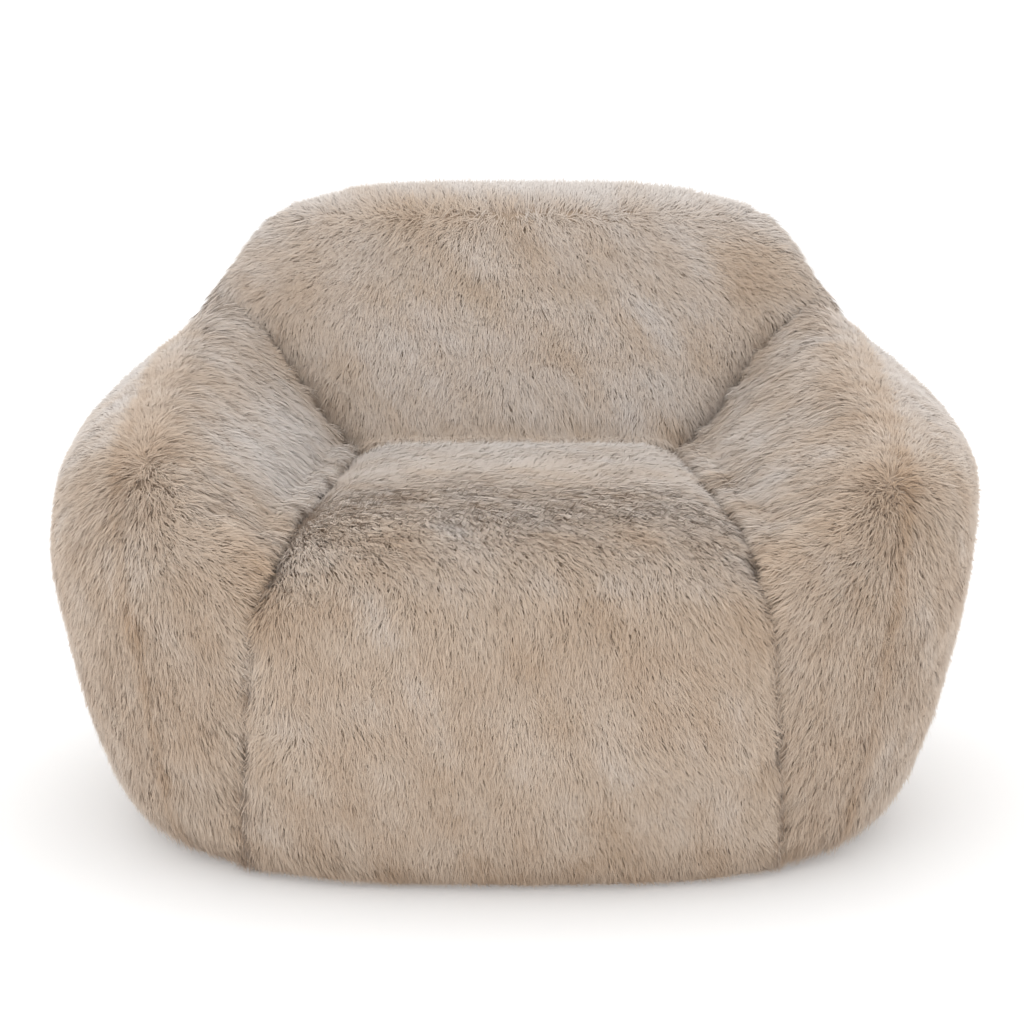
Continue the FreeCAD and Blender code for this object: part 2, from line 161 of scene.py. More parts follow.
def new_group(name: str, inputs: dict[str, float], outputs: dict[str, str]) -> tuple:
    """Starts a shader node group.

    Args:
        name: the group's name.
        inputs: each number input with its usual value.
        outputs: each output with its socket type.

    Returns:
        The tree, its Nodes helper, its input node and its output node.
    """
    tree = bpy.data.node_groups.new(name, "ShaderNodeTree")
    for label, value in inputs.items():
        socket = tree.interface.new_socket(label, in_out="INPUT", socket_type="NodeSocketFloat")
        socket.default_value = value
    for label, kind in outputs.items():
        tree.interface.new_socket(label, in_out="OUTPUT", socket_type=kind)
    nodes = Nodes(tree)
    return tree, nodes, nodes.add("NodeGroupInput"), nodes.add("NodeGroupOutput")


def weave_group() -> bpy.types.NodeTree:
    """Makes the plain weave that every flat fabric here shares.

    Returns:
        A group with a Threads input and Height and Tone outputs.
    """
    tree, n, start, end = new_group(
        "PlainWeave",
        {"Threads": 900.0, "Unevenness": 0.5},
        {"Height": "NodeSocketFloat", "Tone": "NodeSocketFloat"},
    )
    place = n.add("ShaderNodeTexCoord").outputs["Object"]
    scaled = n.add("ShaderNodeVectorMath", operation="SCALE")
    n.join(place, scaled.inputs[0])
    n.join(start.outputs["Threads"], scaled.inputs["Scale"])
    split = n.add("ShaderNodeSeparateXYZ")
    n.join(scaled.outputs[0], split.inputs[0])
    across = n.math("SINE", n.math("ADD", split.outputs["X"], split.outputs["Y"]))
    along = n.math("SINE", split.outputs["Z"])
    height = n.math("ADD", n.math("MULTIPLY", n.math("MULTIPLY", across, along), 0.5), 0.5)
    noise = n.add("ShaderNodeTexNoise")
    noise.inputs["Scale"].default_value = 60.0
    noise.inputs["Detail"].default_value = 4.0
    n.join(place, noise.inputs["Vector"])
    uneven = n.math("MULTIPLY", n.math("SUBTRACT", noise.outputs[0], 0.5), start.outputs["Unevenness"])
    n.join(height, end.inputs["Height"])
    n.join(n.math("ADD", n.math("MULTIPLY", height, 0.5), n.math("ADD", uneven, 0.5)), end.inputs["Tone"])
    return tree


def speckle_group() -> bpy.types.NodeTree:
    """Makes the fine grain and handling marks that the hard parts share.

    Returns:
        A group with Scale and Strength inputs and a Marks output.
    """
    tree, n, start, end = new_group(
        "HandlingMarks", {"Scale": 300.0, "Strength": 0.3}, {"Marks": "NodeSocketFloat"}
    )
    place = n.add("ShaderNodeTexCoord").outputs["Object"]
    noise = n.add("ShaderNodeTexNoise")
    noise.inputs["Detail"].default_value = 6.0
    n.join(place, noise.inputs["Vector"])
    n.join(start.outputs["Scale"], noise.inputs["Scale"])
    n.join(n.math("MULTIPLY", noise.outputs[0], start.outputs["Strength"]), end.inputs["Marks"])
    return tree


# ---------------------------------------------------------------- finishes


class Finish:
    """A material with a Principled shader, built once and shared."""

    built: dict[str, bpy.types.Material] = {}
    groups: dict[str, bpy.types.NodeTree] = {}

    def group(self, n: Nodes, make: Callable, **values: float) -> bpy.types.Node:
        """Places a shared group in a material.

        Args:
            n: the material's nodes.
            make: the function that makes the group.
            values: its inputs in this material.

        Returns:
            The group's node.
        """
        key = make.__name__
        if key not in Finish.groups:
            Finish.groups[key] = make()
        node = n.add("ShaderNodeGroup", node_tree=Finish.groups[key])
        for label, value in values.items():
            node.inputs[label].default_value = value
        return node

    def material(self) -> bpy.types.Material:
        """Returns the material, made at the first call.

        Returns:
            The material.
        """
        name = type(self).__name__
        key = f"{name}{hash(self)}"
        if key not in Finish.built:
            made = bpy.data.materials.new(name)
            made.use_nodes = True
            n = Nodes(made.node_tree)
            shader = n.add("ShaderNodeBsdfPrincipled")
            output = n.add("ShaderNodeOutputMaterial")
            n.join(shader.outputs[0], output.inputs[0])
            self.dress(n, shader)
            Finish.built[key] = made
        return Finish.built[key]

    def dress(self, n: Nodes, shader: bpy.types.Node) -> None:
        """Adds the finish's own nodes.

        Args:
            n: the material's nodes.
            shader: the Principled shader.
        """
        raise NotImplementedError

    def bump(
        self, n: Nodes, shader: bpy.types.Node, height: bpy.types.NodeSocket, distance: float
    ) -> None:
        """Feeds a height to the shader's normal through a bump.

        Args:
            n: the material's nodes.
            shader: the Principled shader.
            height: the height, from 0 to 1.
            distance: what a height of 1 stands for, in metres.
        """
        node = n.add("ShaderNodeBump")
        node.inputs["Distance"].default_value = distance
        n.join(height, node.inputs["Height"])
        n.join(node.outputs[0], shader.inputs["Normal"])


@dataclass(frozen=True)
class FurFinish(Finish):
    """Long pile: dark at its roots, pale at its tips, each strand with its own tone, which also carries
    painted light and shade.
    """

    root: tuple = (0.45, 0.345, 0.26)
    low: tuple = (0.53, 0.415, 0.32)
    high: tuple = (0.61, 0.49, 0.385)
    tip: tuple = (0.68, 0.565, 0.46)
    # dark_tone colours partings and painted shade; pale_tone colours painted light, painted sheen and paler
    # patches.
    dark_tone: tuple = (0.80, 0.69, 0.575)
    own_tone: tuple = (1.0, 1.0, 1.0)
    pale_tone: tuple = (1.14, 1.30, 1.53)
    sheen: float = 0.30

    def dress(self, n: Nodes, shader: bpy.types.Node) -> None:
        """Colours a strand by its tone and by the distance from its root.

        Args:
            n: the material's nodes.
            shader: the Principled shader.
        """
        place = n.add("ShaderNodeUVMap", uv_map=UV_MAP)
        split = n.add("ShaderNodeSeparateXYZ")
        n.join(place.outputs[0], split.inputs[0])
        along = n.ramp(
            split.outputs["Y"], [(0.0, self.root), (0.25, self.low), (0.60, self.high), (1.0, self.tip)]
        )
        # Across the map the tone carries partings, painted shade and painted light as well as each strand's
        # own tone.
        tones = [(0.0, self.dark_tone), (0.5, self.own_tone), (1.0, self.pale_tone)]
        tone = n.ramp(split.outputs["X"], tones)
        n.join(n.mix("MULTIPLY", 1.0, along, tone), shader.inputs["Base Color"])
        rough = n.math("ADD", n.math("MULTIPLY", split.outputs["Y"], -0.14), 0.78)
        n.join(rough, shader.inputs["Roughness"])
        shader.inputs["Specular IOR Level"].default_value = 0.32
        shader.inputs["Sheen Weight"].default_value = self.sheen
        shader.inputs["Sheen Roughness"].default_value = 0.45
        shader.inputs["Sheen Tint"].default_value = (0.95, 0.93, 0.92, 1.0)


@dataclass(frozen=True)
class BackingFinish(Finish):
    """The knitted backing that the pile grows from."""

    dark: tuple = (0.30, 0.225, 0.165)
    light: tuple = (0.46, 0.355, 0.27)

    def dress(self, n: Nodes, shader: bpy.types.Node) -> None:
        """Adds the knit and its uneven colour.

        Args:
            n: the material's nodes.
            shader: the Principled shader.
        """
        weave = self.group(n, weave_group, Threads=1600.0, Unevenness=0.9)
        color = n.ramp(weave.outputs["Tone"], [(0.2, self.dark), (0.9, self.light)])
        n.join(color, shader.inputs["Base Color"])
        shader.inputs["Roughness"].default_value = 0.95
        self.bump(n, shader, weave.outputs["Height"], 0.0006)


@dataclass(frozen=True)
class ClothFinish(Finish):
    """A flat woven fabric of one colour."""

    dark: tuple = (0.62, 0.60, 0.56)
    light: tuple = (0.86, 0.85, 0.82)
    threads: float = 2200.0
    depth: float = 0.0002
    rough: float = 0.88

    def dress(self, n: Nodes, shader: bpy.types.Node) -> None:
        """Adds the weave.

        Args:
            n: the material's nodes.
            shader: the Principled shader.
        """
        weave = self.group(n, weave_group, Threads=self.threads, Unevenness=0.6)
        color = n.ramp(weave.outputs["Tone"], [(0.15, self.dark), (0.95, self.light)])
        n.join(color, shader.inputs["Base Color"])
        shader.inputs["Roughness"].default_value = self.rough
        shader.inputs["Sheen Weight"].default_value = 0.15
        self.bump(n, shader, weave.outputs["Height"], self.depth)


@dataclass(frozen=True)
class BeadFinish(Finish):
    """Loose expanded beads, packed together."""

    bead: float = 0.0045

    def dress(self, n: Nodes, shader: bpy.types.Node) -> None:
        """Adds round beads with dark gaps between them.

        Args:
            n: the material's nodes.
            shader: the Principled shader.
        """
        place = n.add("ShaderNodeTexCoord").outputs["Object"]
        cells = n.add("ShaderNodeTexVoronoi")
        cells.inputs["Scale"].default_value = 1.0 / self.bead
        n.join(place, cells.inputs["Vector"])
        height = n.math("SUBTRACT", 1.0, cells.outputs["Distance"])
        shade = n.ramp(height, [(0.25, (0.30, 0.30, 0.29)), (0.62, (0.90, 0.90, 0.88))])
        n.join(shade, shader.inputs["Base Color"])
        shader.inputs["Roughness"].default_value = 0.55
        self.bump(n, shader, height, self.bead * 0.6)


@dataclass(frozen=True)
class GripFinish(Finish):
    """Dark non-slip base fabric with moulded dots."""

    pitch: float = 0.008

    def dress(self, n: Nodes, shader: bpy.types.Node) -> None:
        """Adds the weave and the dots.

        Args:
            n: the material's nodes.
            shader: the Principled shader.
        """
        weave = self.group(n, weave_group, Threads=1500.0, Unevenness=0.5)
        place = n.add("ShaderNodeTexCoord").outputs["Object"]
        waves = n.add("ShaderNodeVectorMath", operation="SCALE")
        waves.inputs["Scale"].default_value = 2 * math.pi / self.pitch
        n.join(place, waves.inputs[0])
        split = n.add("ShaderNodeSeparateXYZ")
        n.join(waves.outputs[0], split.inputs[0])
        across, back = n.math("COSINE", split.outputs["X"]), n.math("COSINE", split.outputs["Y"])
        both = n.math("MULTIPLY", across, back)
        dots = n.math("GREATER_THAN", both, 0.45)
        cloth = n.ramp(weave.outputs["Tone"], [(0.2, (0.028, 0.026, 0.025)), (0.9, (0.075, 0.070, 0.066))])
        n.join(n.mix("MIX", dots, cloth, (0.020, 0.020, 0.021)), shader.inputs["Base Color"])
        n.join(n.math("SUBTRACT", 0.92, n.math("MULTIPLY", dots, 0.35)), shader.inputs["Roughness"])
        raised = n.math("ADD", dots, n.math("MULTIPLY", weave.outputs["Height"], 0.2))
        self.bump(n, shader, raised, 0.0006)


@dataclass(frozen=True)
class HardFinish(Finish):
    """A metal or plastic part with fine grain and handling marks."""

    color: tuple = (0.60, 0.58, 0.55)
    worn: tuple = (0.42, 0.40, 0.38)
    metallic: float = 1.0
    rough: float = 0.34

    def dress(self, n: Nodes, shader: bpy.types.Node) -> None:
        """Adds the marks to colour and gloss.

        Args:
            n: the material's nodes.
            shader: the Principled shader.
        """
        marks = self.group(n, speckle_group, Scale=420.0, Strength=1.0).outputs["Marks"]
        n.join(n.ramp(marks, [(0.35, self.worn), (0.60, self.color)]), shader.inputs["Base Color"])
        uneven = n.math("ADD", n.math("MULTIPLY", marks, 0.22), self.rough - 0.11)
        n.join(uneven, shader.inputs["Roughness"])
        shader.inputs["Metallic"].default_value = self.metallic
        self.bump(n, shader, marks, 0.00006)


# ---------------------------------------------------------------- fields over the surface


@dataclass(frozen=True)
class Waves:
    """A smooth random field: a seeded sum of sine waves, about -1 to 1."""

    size: float
    seed: int
    count: int = 10

    def at(self, points: np.ndarray) -> np.ndarray:
        """Reads the field.

        Args:
            points: places in metres, one a row.

        Returns:
            One value for each place.
        """
        rng = np.random.default_rng(self.seed)
        turn = rng.normal(size=(self.count, 3))
        turn /= np.linalg.norm(turn, axis=1, keepdims=True)
        pace = rng.uniform(0.6, 1.6, self.count) * 2 * math.pi / self.size
        phase = rng.uniform(0, 2 * math.pi, self.count)
        return np.sin(points @ (turn * pace[:, None]).T + phase).sum(1) / math.sqrt(self.count / 2)


def unit(vectors: np.ndarray) -> np.ndarray:
    """Returns the rows scaled to length 1."""
    return vectors / np.maximum(np.linalg.norm(vectors, axis=1, keepdims=True), 1e-9)


def smooth_step(low: float, high: float, values: np.ndarray) -> np.ndarray:
    """Returns 0 below low, 1 above high and a smooth rise between."""
    share = np.clip((values - low) / (high - low), 0, 1)
    return share * share * (3 - 2 * share)


def near(points: np.ndarray, centre: tuple, reach: tuple) -> np.ndarray:
    """Returns a soft patch: 1 at its centre, falling off over reach along X, Y and Z."""
    away = (points - np.array(centre)) / np.array(reach)
    return np.exp(-(away**2).sum(1))


def along(points: np.ndarray, start: tuple, end: tuple, reach: float) -> np.ndarray:
    """Returns a soft band: 1 on the straight line from start to end, falling off over reach.

    Args:
        points: places in metres, one a row.
        start: where the line starts.
        end: where it ends.
        reach: how far it falls off.

    Returns:
        A value for each place.
    """
    way = np.array(end) - np.array(start)
    share = np.clip((points - np.array(start)) @ way / (way @ way), 0, 1)
    away = points - np.array(start) - share[:, None] * way
    return np.exp(-(away**2).sum(1) / reach**2)


# ---------------------------------------------------------------- bags


def mesh_arrays(mesh: bpy.types.Mesh) -> tuple[np.ndarray, np.ndarray]:
    """Reads a mesh.

    Args:
        mesh: the mesh.

    Returns:
        Its points and its vertex normals, one a row.
    """
    points = np.empty(len(mesh.vertices) * 3)
    mesh.vertices.foreach_get("co", points)
    normals = np.empty(len(mesh.vertices) * 3)
    mesh.vertices.foreach_get("normal", normals)
    return points.reshape(-1, 3), normals.reshape(-1, 3)


def only(piece: bpy.types.Object) -> None:
    """Selects one object alone and makes it active.

    Args:
        piece: the object.
    """
    bpy.ops.object.select_all(action="DESELECT")
    piece.select_set(True)
    bpy.context.view_layer.objects.active = piece


def apply_modifier(piece: bpy.types.Object, name: str) -> None:
    """Applies one modifier of a piece."""
    only(piece)
    bpy.ops.object.modifier_apply(modifier=name)


@dataclass
class Covers:
    """Finds which cover panel is over a place, and how far its seams are."""

    names: tuple[str, ...]
    reach: float = 0.07
    facing: float = 0.2
    bridge_limit: float = 0.05

    def __post_init__(self) -> None:
        """Makes a search tree of each panel."""
        self.trees = []
        for name in self.names:
            mesh = frame["nodes"][name].data
            corners = [v.co.copy() for v in mesh.vertices]
            self.trees.append(BVHTree.FromPolygons(corners, [tuple(p.vertices) for p in mesh.polygons]))

    def measure(self, points: np.ndarray) -> tuple[np.ndarray, np.ndarray]:
        """Measures each place against each panel.

        Args:
            points: places in metres.

        Returns:
            Each place's nearest panel by number, and its distances to all panels.
        """
        far = np.array([[tree.find_nearest(p)[3] for tree in self.trees] for p in map(Vector, points)])
        return far.argmin(1), far

    def depth(self, points: np.ndarray, normals: np.ndarray) -> np.ndarray:
        """Measures how far each place is below the outside of the covers.

        Args:
            points: places in metres.
            normals: the way out at each place.

        Returns:
            The depth at each place, and 0 where no panel is over it.
        """
        found = np.zeros(len(points))
        for i, (point, normal) in enumerate(zip(points, normals)):
            out = Vector(normal)
            start = Vector(point) + out * self.reach
            for tree in self.trees:
                hit = tree.ray_cast(start, -out, self.reach)
                if hit[0] is not None and hit[1].dot(out) > self.facing:
                    found[i] = max(found[i], self.reach - hit[3])
        return found

    def bridge(self, points: np.ndarray, others: list[int]) -> np.ndarray:
        """Finds the way from each place to the nearest panel of another bag.

        Args:
            points: places in metres.
            others: the other bags' panels, by number.

        Returns:
            A direction for each place, 1 long at that panel and shorter further off.
        """
        limit = self.bridge_limit
        ways = np.zeros((len(points), 3))
        for i, point in enumerate(map(Vector, points)):
            hits = [self.trees[number].find_nearest(point, limit) for number in others]
            hits = [hit for hit in hits if hit[0] is not None]
            if hits:
                nearest = min(hits, key=lambda hit: hit[3])
                ways[i] = (nearest[0] - point).normalized() * (1 - nearest[3] / limit)
        return ways


@dataclass
class Bag:
    """One stuffed bag: its fill, its liner and the backing of the cover panels over it.

    Lengths are in metres. The skin is the bag's outside under the pile, and pile_height is how
    far the laid pile stands above it.
    """

    name: str
    fill: str
    liner: str
    panels: tuple[str, ...]
    voxel: float = 0.013
    swell: float = 0.036
    soften: int = 3
    pile_height: float = 0.0085
    puffiness: float = 0.005
    wrap: float = 0.032
    pressure: float = 4.0
    frames: int = 16
    liner_depth: float = 0.0035
    fill_depth: float = 0.0075
    lean: float = 0.010
    crown: float = 0.004
    shoulder_drop: float = 0.009
    shoulder_width: float = 0.018
    seat_crown: float = 0.012
    arm_sink: float = 0.006
    arm_crest: float = 0.008

    def fill_copy(self) -> bpy.types.Object:
        """Copies the CAD fill and remeshes it evenly.

        Returns:
            The new object.
        """
        source = frame["nodes"][self.fill]
        mesh = source.data.copy()
        mesh.materials.clear()
        piece = bpy.data.objects.new(f"{self.name}_skin", mesh)
        bpy.context.scene.collection.objects.link(piece)
        remesh = piece.modifiers.new("even", "REMESH")
        remesh.mode = "VOXEL"
        remesh.voxel_size = self.voxel
        apply_modifier(piece, "even")
        soften = piece.modifiers.new("soften", "SMOOTH")
        soften.iterations = 4
        apply_modifier(piece, "soften")
        return piece

    def swollen(self, piece: bpy.types.Object, hold: np.ndarray) -> np.ndarray:
        """Swells the cloth with pressure from inside.

        Args:
            piece: the bag, evenly meshed.
            hold: for each vertex, 1 where it is held and 0 where it is free.

        Returns:
            How far each vertex moved.
        """
        before, normals = mesh_arrays(piece.data)
        group = piece.vertex_groups.new(name="held")
        for i in np.flatnonzero(hold > 0.02):
            group.add([int(i)], float(hold[i]), "REPLACE")
        cloth = piece.modifiers.new("swell", "CLOTH")
        settings = cloth.settings
        settings.quality = 4
        settings.mass = 0.3
        settings.use_pressure = True
        settings.uniform_pressure_force = self.pressure
        settings.vertex_group_mass = "held"
        settings.effector_weights.gravity = 0.0
        cloth.collision_settings.use_collision = False
        cloth.point_cache.frame_start = 1
        cloth.point_cache.frame_end = self.frames
        for step in range(1, self.frames + 1):
            bpy.context.scene.frame_set(step)
        seen = piece.evaluated_get(bpy.context.evaluated_depsgraph_get())
        after, _ = mesh_arrays(seen.data)
        moved = after - before
        piece.modifiers.clear()
        piece.vertex_groups.clear()
        bpy.context.scene.frame_set(1)
        return moved

    def build(self, covers: Covers) -> None:
        """Makes the liner, the fill and the backing panels of this bag.

        Args:
            covers: the cover panels.
        """
        piece = self.fill_copy()
        points, normals = mesh_arrays(piece.data)
        _, far = covers.measure(points)
        order = np.sort(far, axis=1)
        outer = 1 - smooth_step(0.012, 0.034, order[:, 0])
        own = [covers.names.index(p) for p in self.panels]
        others = [i for i in range(len(covers.names)) if i not in own]
        crevice = smooth_step(0.002, 0.040, far[:, others].min(1))
        inner_seam = np.ones(len(points))
        if len(own) > 1:
            inner_seam = smooth_step(0.003, 0.022, np.sort(far[:, own], axis=1)[:, 1])
        free = outer * (0.86 + 0.14 * crevice) * (0.94 + 0.06 * inner_seam)
        moved = self.swollen(piece, 1 - free)
        out = (moved * normals).sum(1)
        share = np.clip(out / max(np.percentile(out, 85), 1e-6), 0.35, 1.0)
        deep = covers.depth(points, normals)
        puff = np.clip(deep - self.pile_height + self.puffiness * (share - 0.7), 0, self.swell) * free
        skin = self.settled(points + normals * puff[:, None])
        piece.data.vertices.foreach_set("co", skin.ravel())
        even = piece.modifiers.new("even", "SMOOTH")
        even.iterations = self.soften
        apply_modifier(piece, "even")
        smooth_shade(piece.data)
        self.inner_piece(piece, self.liner, self.liner_depth, ClothFinish())
        self.inner_piece(piece, self.fill, self.fill_depth, BeadFinish())
        self.backing(piece, covers)

    def settled(self, points: np.ndarray) -> np.ndarray:
        """Returns the skin's points as the stuffed bag settles in use.

        The upper half leans a little to the right, the back fills its crown and shoulders, the
        arms sink at their rear and the seat is crowned between the arms.

        Args:
            points: the skin, one point a row.

        Returns:
            The moved points.
        """
        p = points.copy()
        x, y, z = points.T
        side = np.abs(x)
        zip_side = smooth_step(0.30, 0.38, y) * smooth_step(0.16, 0.08, side)
        p[:, 0] += self.lean * smooth_step(0.34, 0.45, z) * (1 - zip_side)
        if self.name == "back":
            high = smooth_step(0.60, 0.69, z)
            p[:, 2] += high * (self.crown - self.shoulder_drop * smooth_step(0.12, 0.32, side))
            p[:, 0] += np.sign(x) * self.shoulder_width * high * smooth_step(0.16, 0.30, side)
        elif self.name == "seat":
            p[:, 2] -= self.seat_crown * smooth_step(0.13, 0.26, side) * smooth_step(0.33, 0.39, z)
        else:
            crest = np.exp(-(((z - 0.435) / 0.04) ** 2))
            sunk = self.arm_sink * smooth_step(0.48, 0.55, z) - self.arm_crest * crest
            p[:, 0] -= np.sign(x) * sunk * smooth_step(0.30, 0.38, side)
            p[:, 2] -= 0.6 * sunk
        return p

    def inner_piece(
        self, skin: bpy.types.Object, node: str, depth: float, finish: Finish
    ) -> None:
        """Makes a closed bag a little inside the skin.

        Args:
            skin: the whole skin of the bag.
            node: the CAD node that the piece stands for, which also names it.
            depth: how far inside.
            finish: its finish.
        """
        mesh = skin.data.copy()
        points, normals = mesh_arrays(mesh)
        points = points - normals * depth
        mesh.vertices.foreach_set("co", points.ravel())
        mesh.materials.clear()
        mesh.materials.append(finish.material())
        piece = bpy.data.objects.new(f"{node}_bag", mesh)
        bpy.context.scene.collection.objects.link(piece)
        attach(piece, BODY)
        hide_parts(node)

    def backing(self, skin: bpy.types.Object, covers: Covers) -> None:
        """Cuts the skin into the backing of each panel, and drops what no panel covers.

        Args:
            skin: the whole skin of the bag.
            covers: the cover panels.
        """
        sub = skin.modifiers.new("round", "SUBSURF")
        sub.levels = 1
        sub.render_levels = 1
        apply_modifier(skin, "round")
        mesh = skin.data
        centres = np.empty(len(mesh.polygons) * 3)
        mesh.polygons.foreach_get("center", centres)
        _, far = covers.measure(centres.reshape(-1, 3))
        far = far[:, [covers.names.index(panel) for panel in self.panels]]
        for number, panel in enumerate(self.panels):
            keep = (far.argmin(1) == number) & (far[:, number] < self.wrap)
            piece = part_of(mesh, keep, f"{panel}_backing")
            piece.data.materials.append(BackingFinish().material())
            smooth_shade(piece.data)
            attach(piece, BODY)
            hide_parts(panel)
            log.info("backing %s: %d faces", piece.name, len(piece.data.polygons))
            places = mesh_arrays(piece.data)[0]
            _, far_here = covers.measure(places)
            own = [covers.names.index(name) for name in self.panels]
            depth = far_here[:, own[number]]
            seam = far_here[:, [i for i in own if i != own[number]]].min(1, initial=1.0)
            bridge = covers.bridge(places, [i for i in range(len(covers.names)) if i not in own])
            Pile.panels[panel] = (piece.data, np.column_stack([depth, seam, bridge]))
        bpy.data.objects.remove(skin)


def smooth_shade(mesh: bpy.types.Mesh) -> None:
    """Shades every face smoothly."""
    mesh.polygons.foreach_set("use_smooth", np.ones(len(mesh.polygons), dtype=bool))
    mesh.update()


def part_of(mesh: bpy.types.Mesh, keep: np.ndarray, name: str) -> bpy.types.Object:
    """Makes an object of some of a mesh's faces.

    Args:
        mesh: the whole mesh, all quads or triangles.
        keep: which faces to keep.
        name: the new object's name.

    Returns:
        The new object.
    """
    points, _ = mesh_arrays(mesh)
    faces = [tuple(mesh.polygons[i].vertices) for i in np.flatnonzero(keep)]
    used = sorted({v for face in faces for v in face})
    renumber = {old: new for new, old in enumerate(used)}
    made = bpy.data.meshes.new(name)
    made.from_pydata(points[used].tolist(), [], [[renumber[v] for v in face] for face in faces])
    piece = bpy.data.objects.new(name, made)
    bpy.context.scene.collection.objects.link(piece)
    return piece


# ---------------------------------------------------------------- pile


class Comb:
    """How the pile lies over one panel. Places are in metres, and a value of 1 is the most."""

    # Height of the band of painted shade along the floor.
    FLOOR_SHADE_HEIGHT: ClassVar[float] = 0.085

    seam: float = 0.0

    def flow(self, p: np.ndarray) -> np.ndarray:
        """Returns the way that the pile is brushed at each place."""
        raise NotImplementedError

    def dark(self, p: np.ndarray) -> np.ndarray:
        """Returns how far the pile is darkened at each place: by partings, so that its darker roots show,
        and by painted shade.
        """
        return np.zeros(len(p))

    def flat(self, p: np.ndarray) -> np.ndarray:
        """Returns how far the pile is pressed flat at each place."""
        return np.zeros(len(p))

    def pale(self, p: np.ndarray, n: np.ndarray) -> np.ndarray:
        """Returns how much paler the pile is at each place, mostly painted light and painted sheen on
        up-facing parts and rims, from the surface's normals too.
        """
        return np.zeros(len(p))

    def floor_shade(self, p: np.ndarray) -> np.ndarray:
        """Returns painted shade: a soft band along the floor where the pile is darker."""
        return smooth_step(self.FLOOR_SHADE_HEIGHT, 0.0, p[:, 2])

    @staticmethod
    def rim(p: np.ndarray, n: np.ndarray) -> np.ndarray:
        """Returns a soft band over the top of the back, where the painted sheen over the rim goes."""
        return smooth_step(0.35, 0.85, n[:, 2]) * smooth_step(0.6, 0.69, p[:, 2])


class SeatComb(Comb):
    """The seat and front: brushed across the seat, forwards over the roll and down to the floor."""

    def flow(self, p: np.ndarray) -> np.ndarray:
        """Across and forwards on top, downwards in front, drifting to the right low down.

        Args:
            p: places in metres, one a row.

        Returns:
            A direction at each place.
        """
        over = smooth_step(0.33, 0.405, p[:, 2])
        rear = smooth_step(-0.38, -0.05, p[:, 1]) * over
        drift = 0.10 + 0.30 * smooth_step(-0.05, 0.28, p[:, 0]) * (1 - over) + 0.7 * over
        brushed = np.stack([drift, -0.2 - 0.8 * over + 1.5 * rear, -1.0 + 0.75 * over], 1)
        return brushed + self.whorl(p, (-0.24, -0.45, 0.19), 0.035) * 1.6

    @staticmethod
    def whorl(p: np.ndarray, heart: tuple, reach: float) -> np.ndarray:
        """Returns a small crown that turns the pile away from a place.

        Args:
            p: places in metres, one a row.
            heart: the middle of the crown.
            reach: how far it falls off.

        Returns:
            A direction at each place, 0 far from the crown.
        """
        away = p - np.array(heart)
        turned = np.stack([away[:, 0] + 0.5 * away[:, 2], away[:, 1], away[:, 2] - 0.5 * away[:, 0]], 1)
        return unit(turned) * near(p, heart, (reach,) * 3)[:, None]

    def flat(self, p: np.ndarray) -> np.ndarray:
        """Pressed flatter on top than in front."""
        return 0.30 * smooth_step(0.37, 0.41, p[:, 2])

    def dark(self, p: np.ndarray) -> np.ndarray:
        """Partings along the roll and at its left end and a darker spot below, with painted shade in the
        corner beside the left arm, down the lower front and along the floor.

        Args:
            p: places in metres, one a row.

        Returns:
            A value for each place.
        """
        roll = near(p, (0.0, -0.38, 0.405), (0.5, 0.05, 0.04)) * (0.55 + 0.45 * Waves(0.14, 41).at(p))
        left = near(p, (-0.16, -0.375, 0.405), (0.07, 0.04, 0.04))
        knot = near(p, (-0.15, -0.42, 0.39), (0.035, 0.03, 0.03))
        # Painted shade in the corner between the seat's front and the left arm.
        corner = near(p, (-0.235, -0.45, 0.36), (0.06, 0.05, 0.06))
        spot = near(p, (0.084, -0.46, 0.34), (0.05, 0.05, 0.035))
        # Painted shade: darker along the floor and down the lower front.
        low = self.floor_shade(p)
        front = 0.18 * smooth_step(0.38, 0.30, p[:, 2])
        marks = 0.34 * roll + 0.34 * left + 0.3 * knot + 0.50 * corner + 0.40 * spot
        return marks + 0.8 * low + front

    def pale(self, p: np.ndarray, n: np.ndarray) -> np.ndarray:
        """Painted light on up-facing parts and a painted sheen along the seat's rear edge, with a paler
        patch near the right arm.

        Args:
            p: places in metres, one a row.
            n: the surface's normals there.

        Returns:
            A value for each place.
        """
        # Painted light: up-facing parts are paler.
        top = smooth_step(0.4, 0.9, n[:, 2])
        right = near(p, (0.20, -0.18, 0.42), (0.08, 0.12, 0.05))
        return 0.65 * smooth_step(-0.16, 0.06, p[:, 1]) * top + 0.35 * right + 0.36 * top


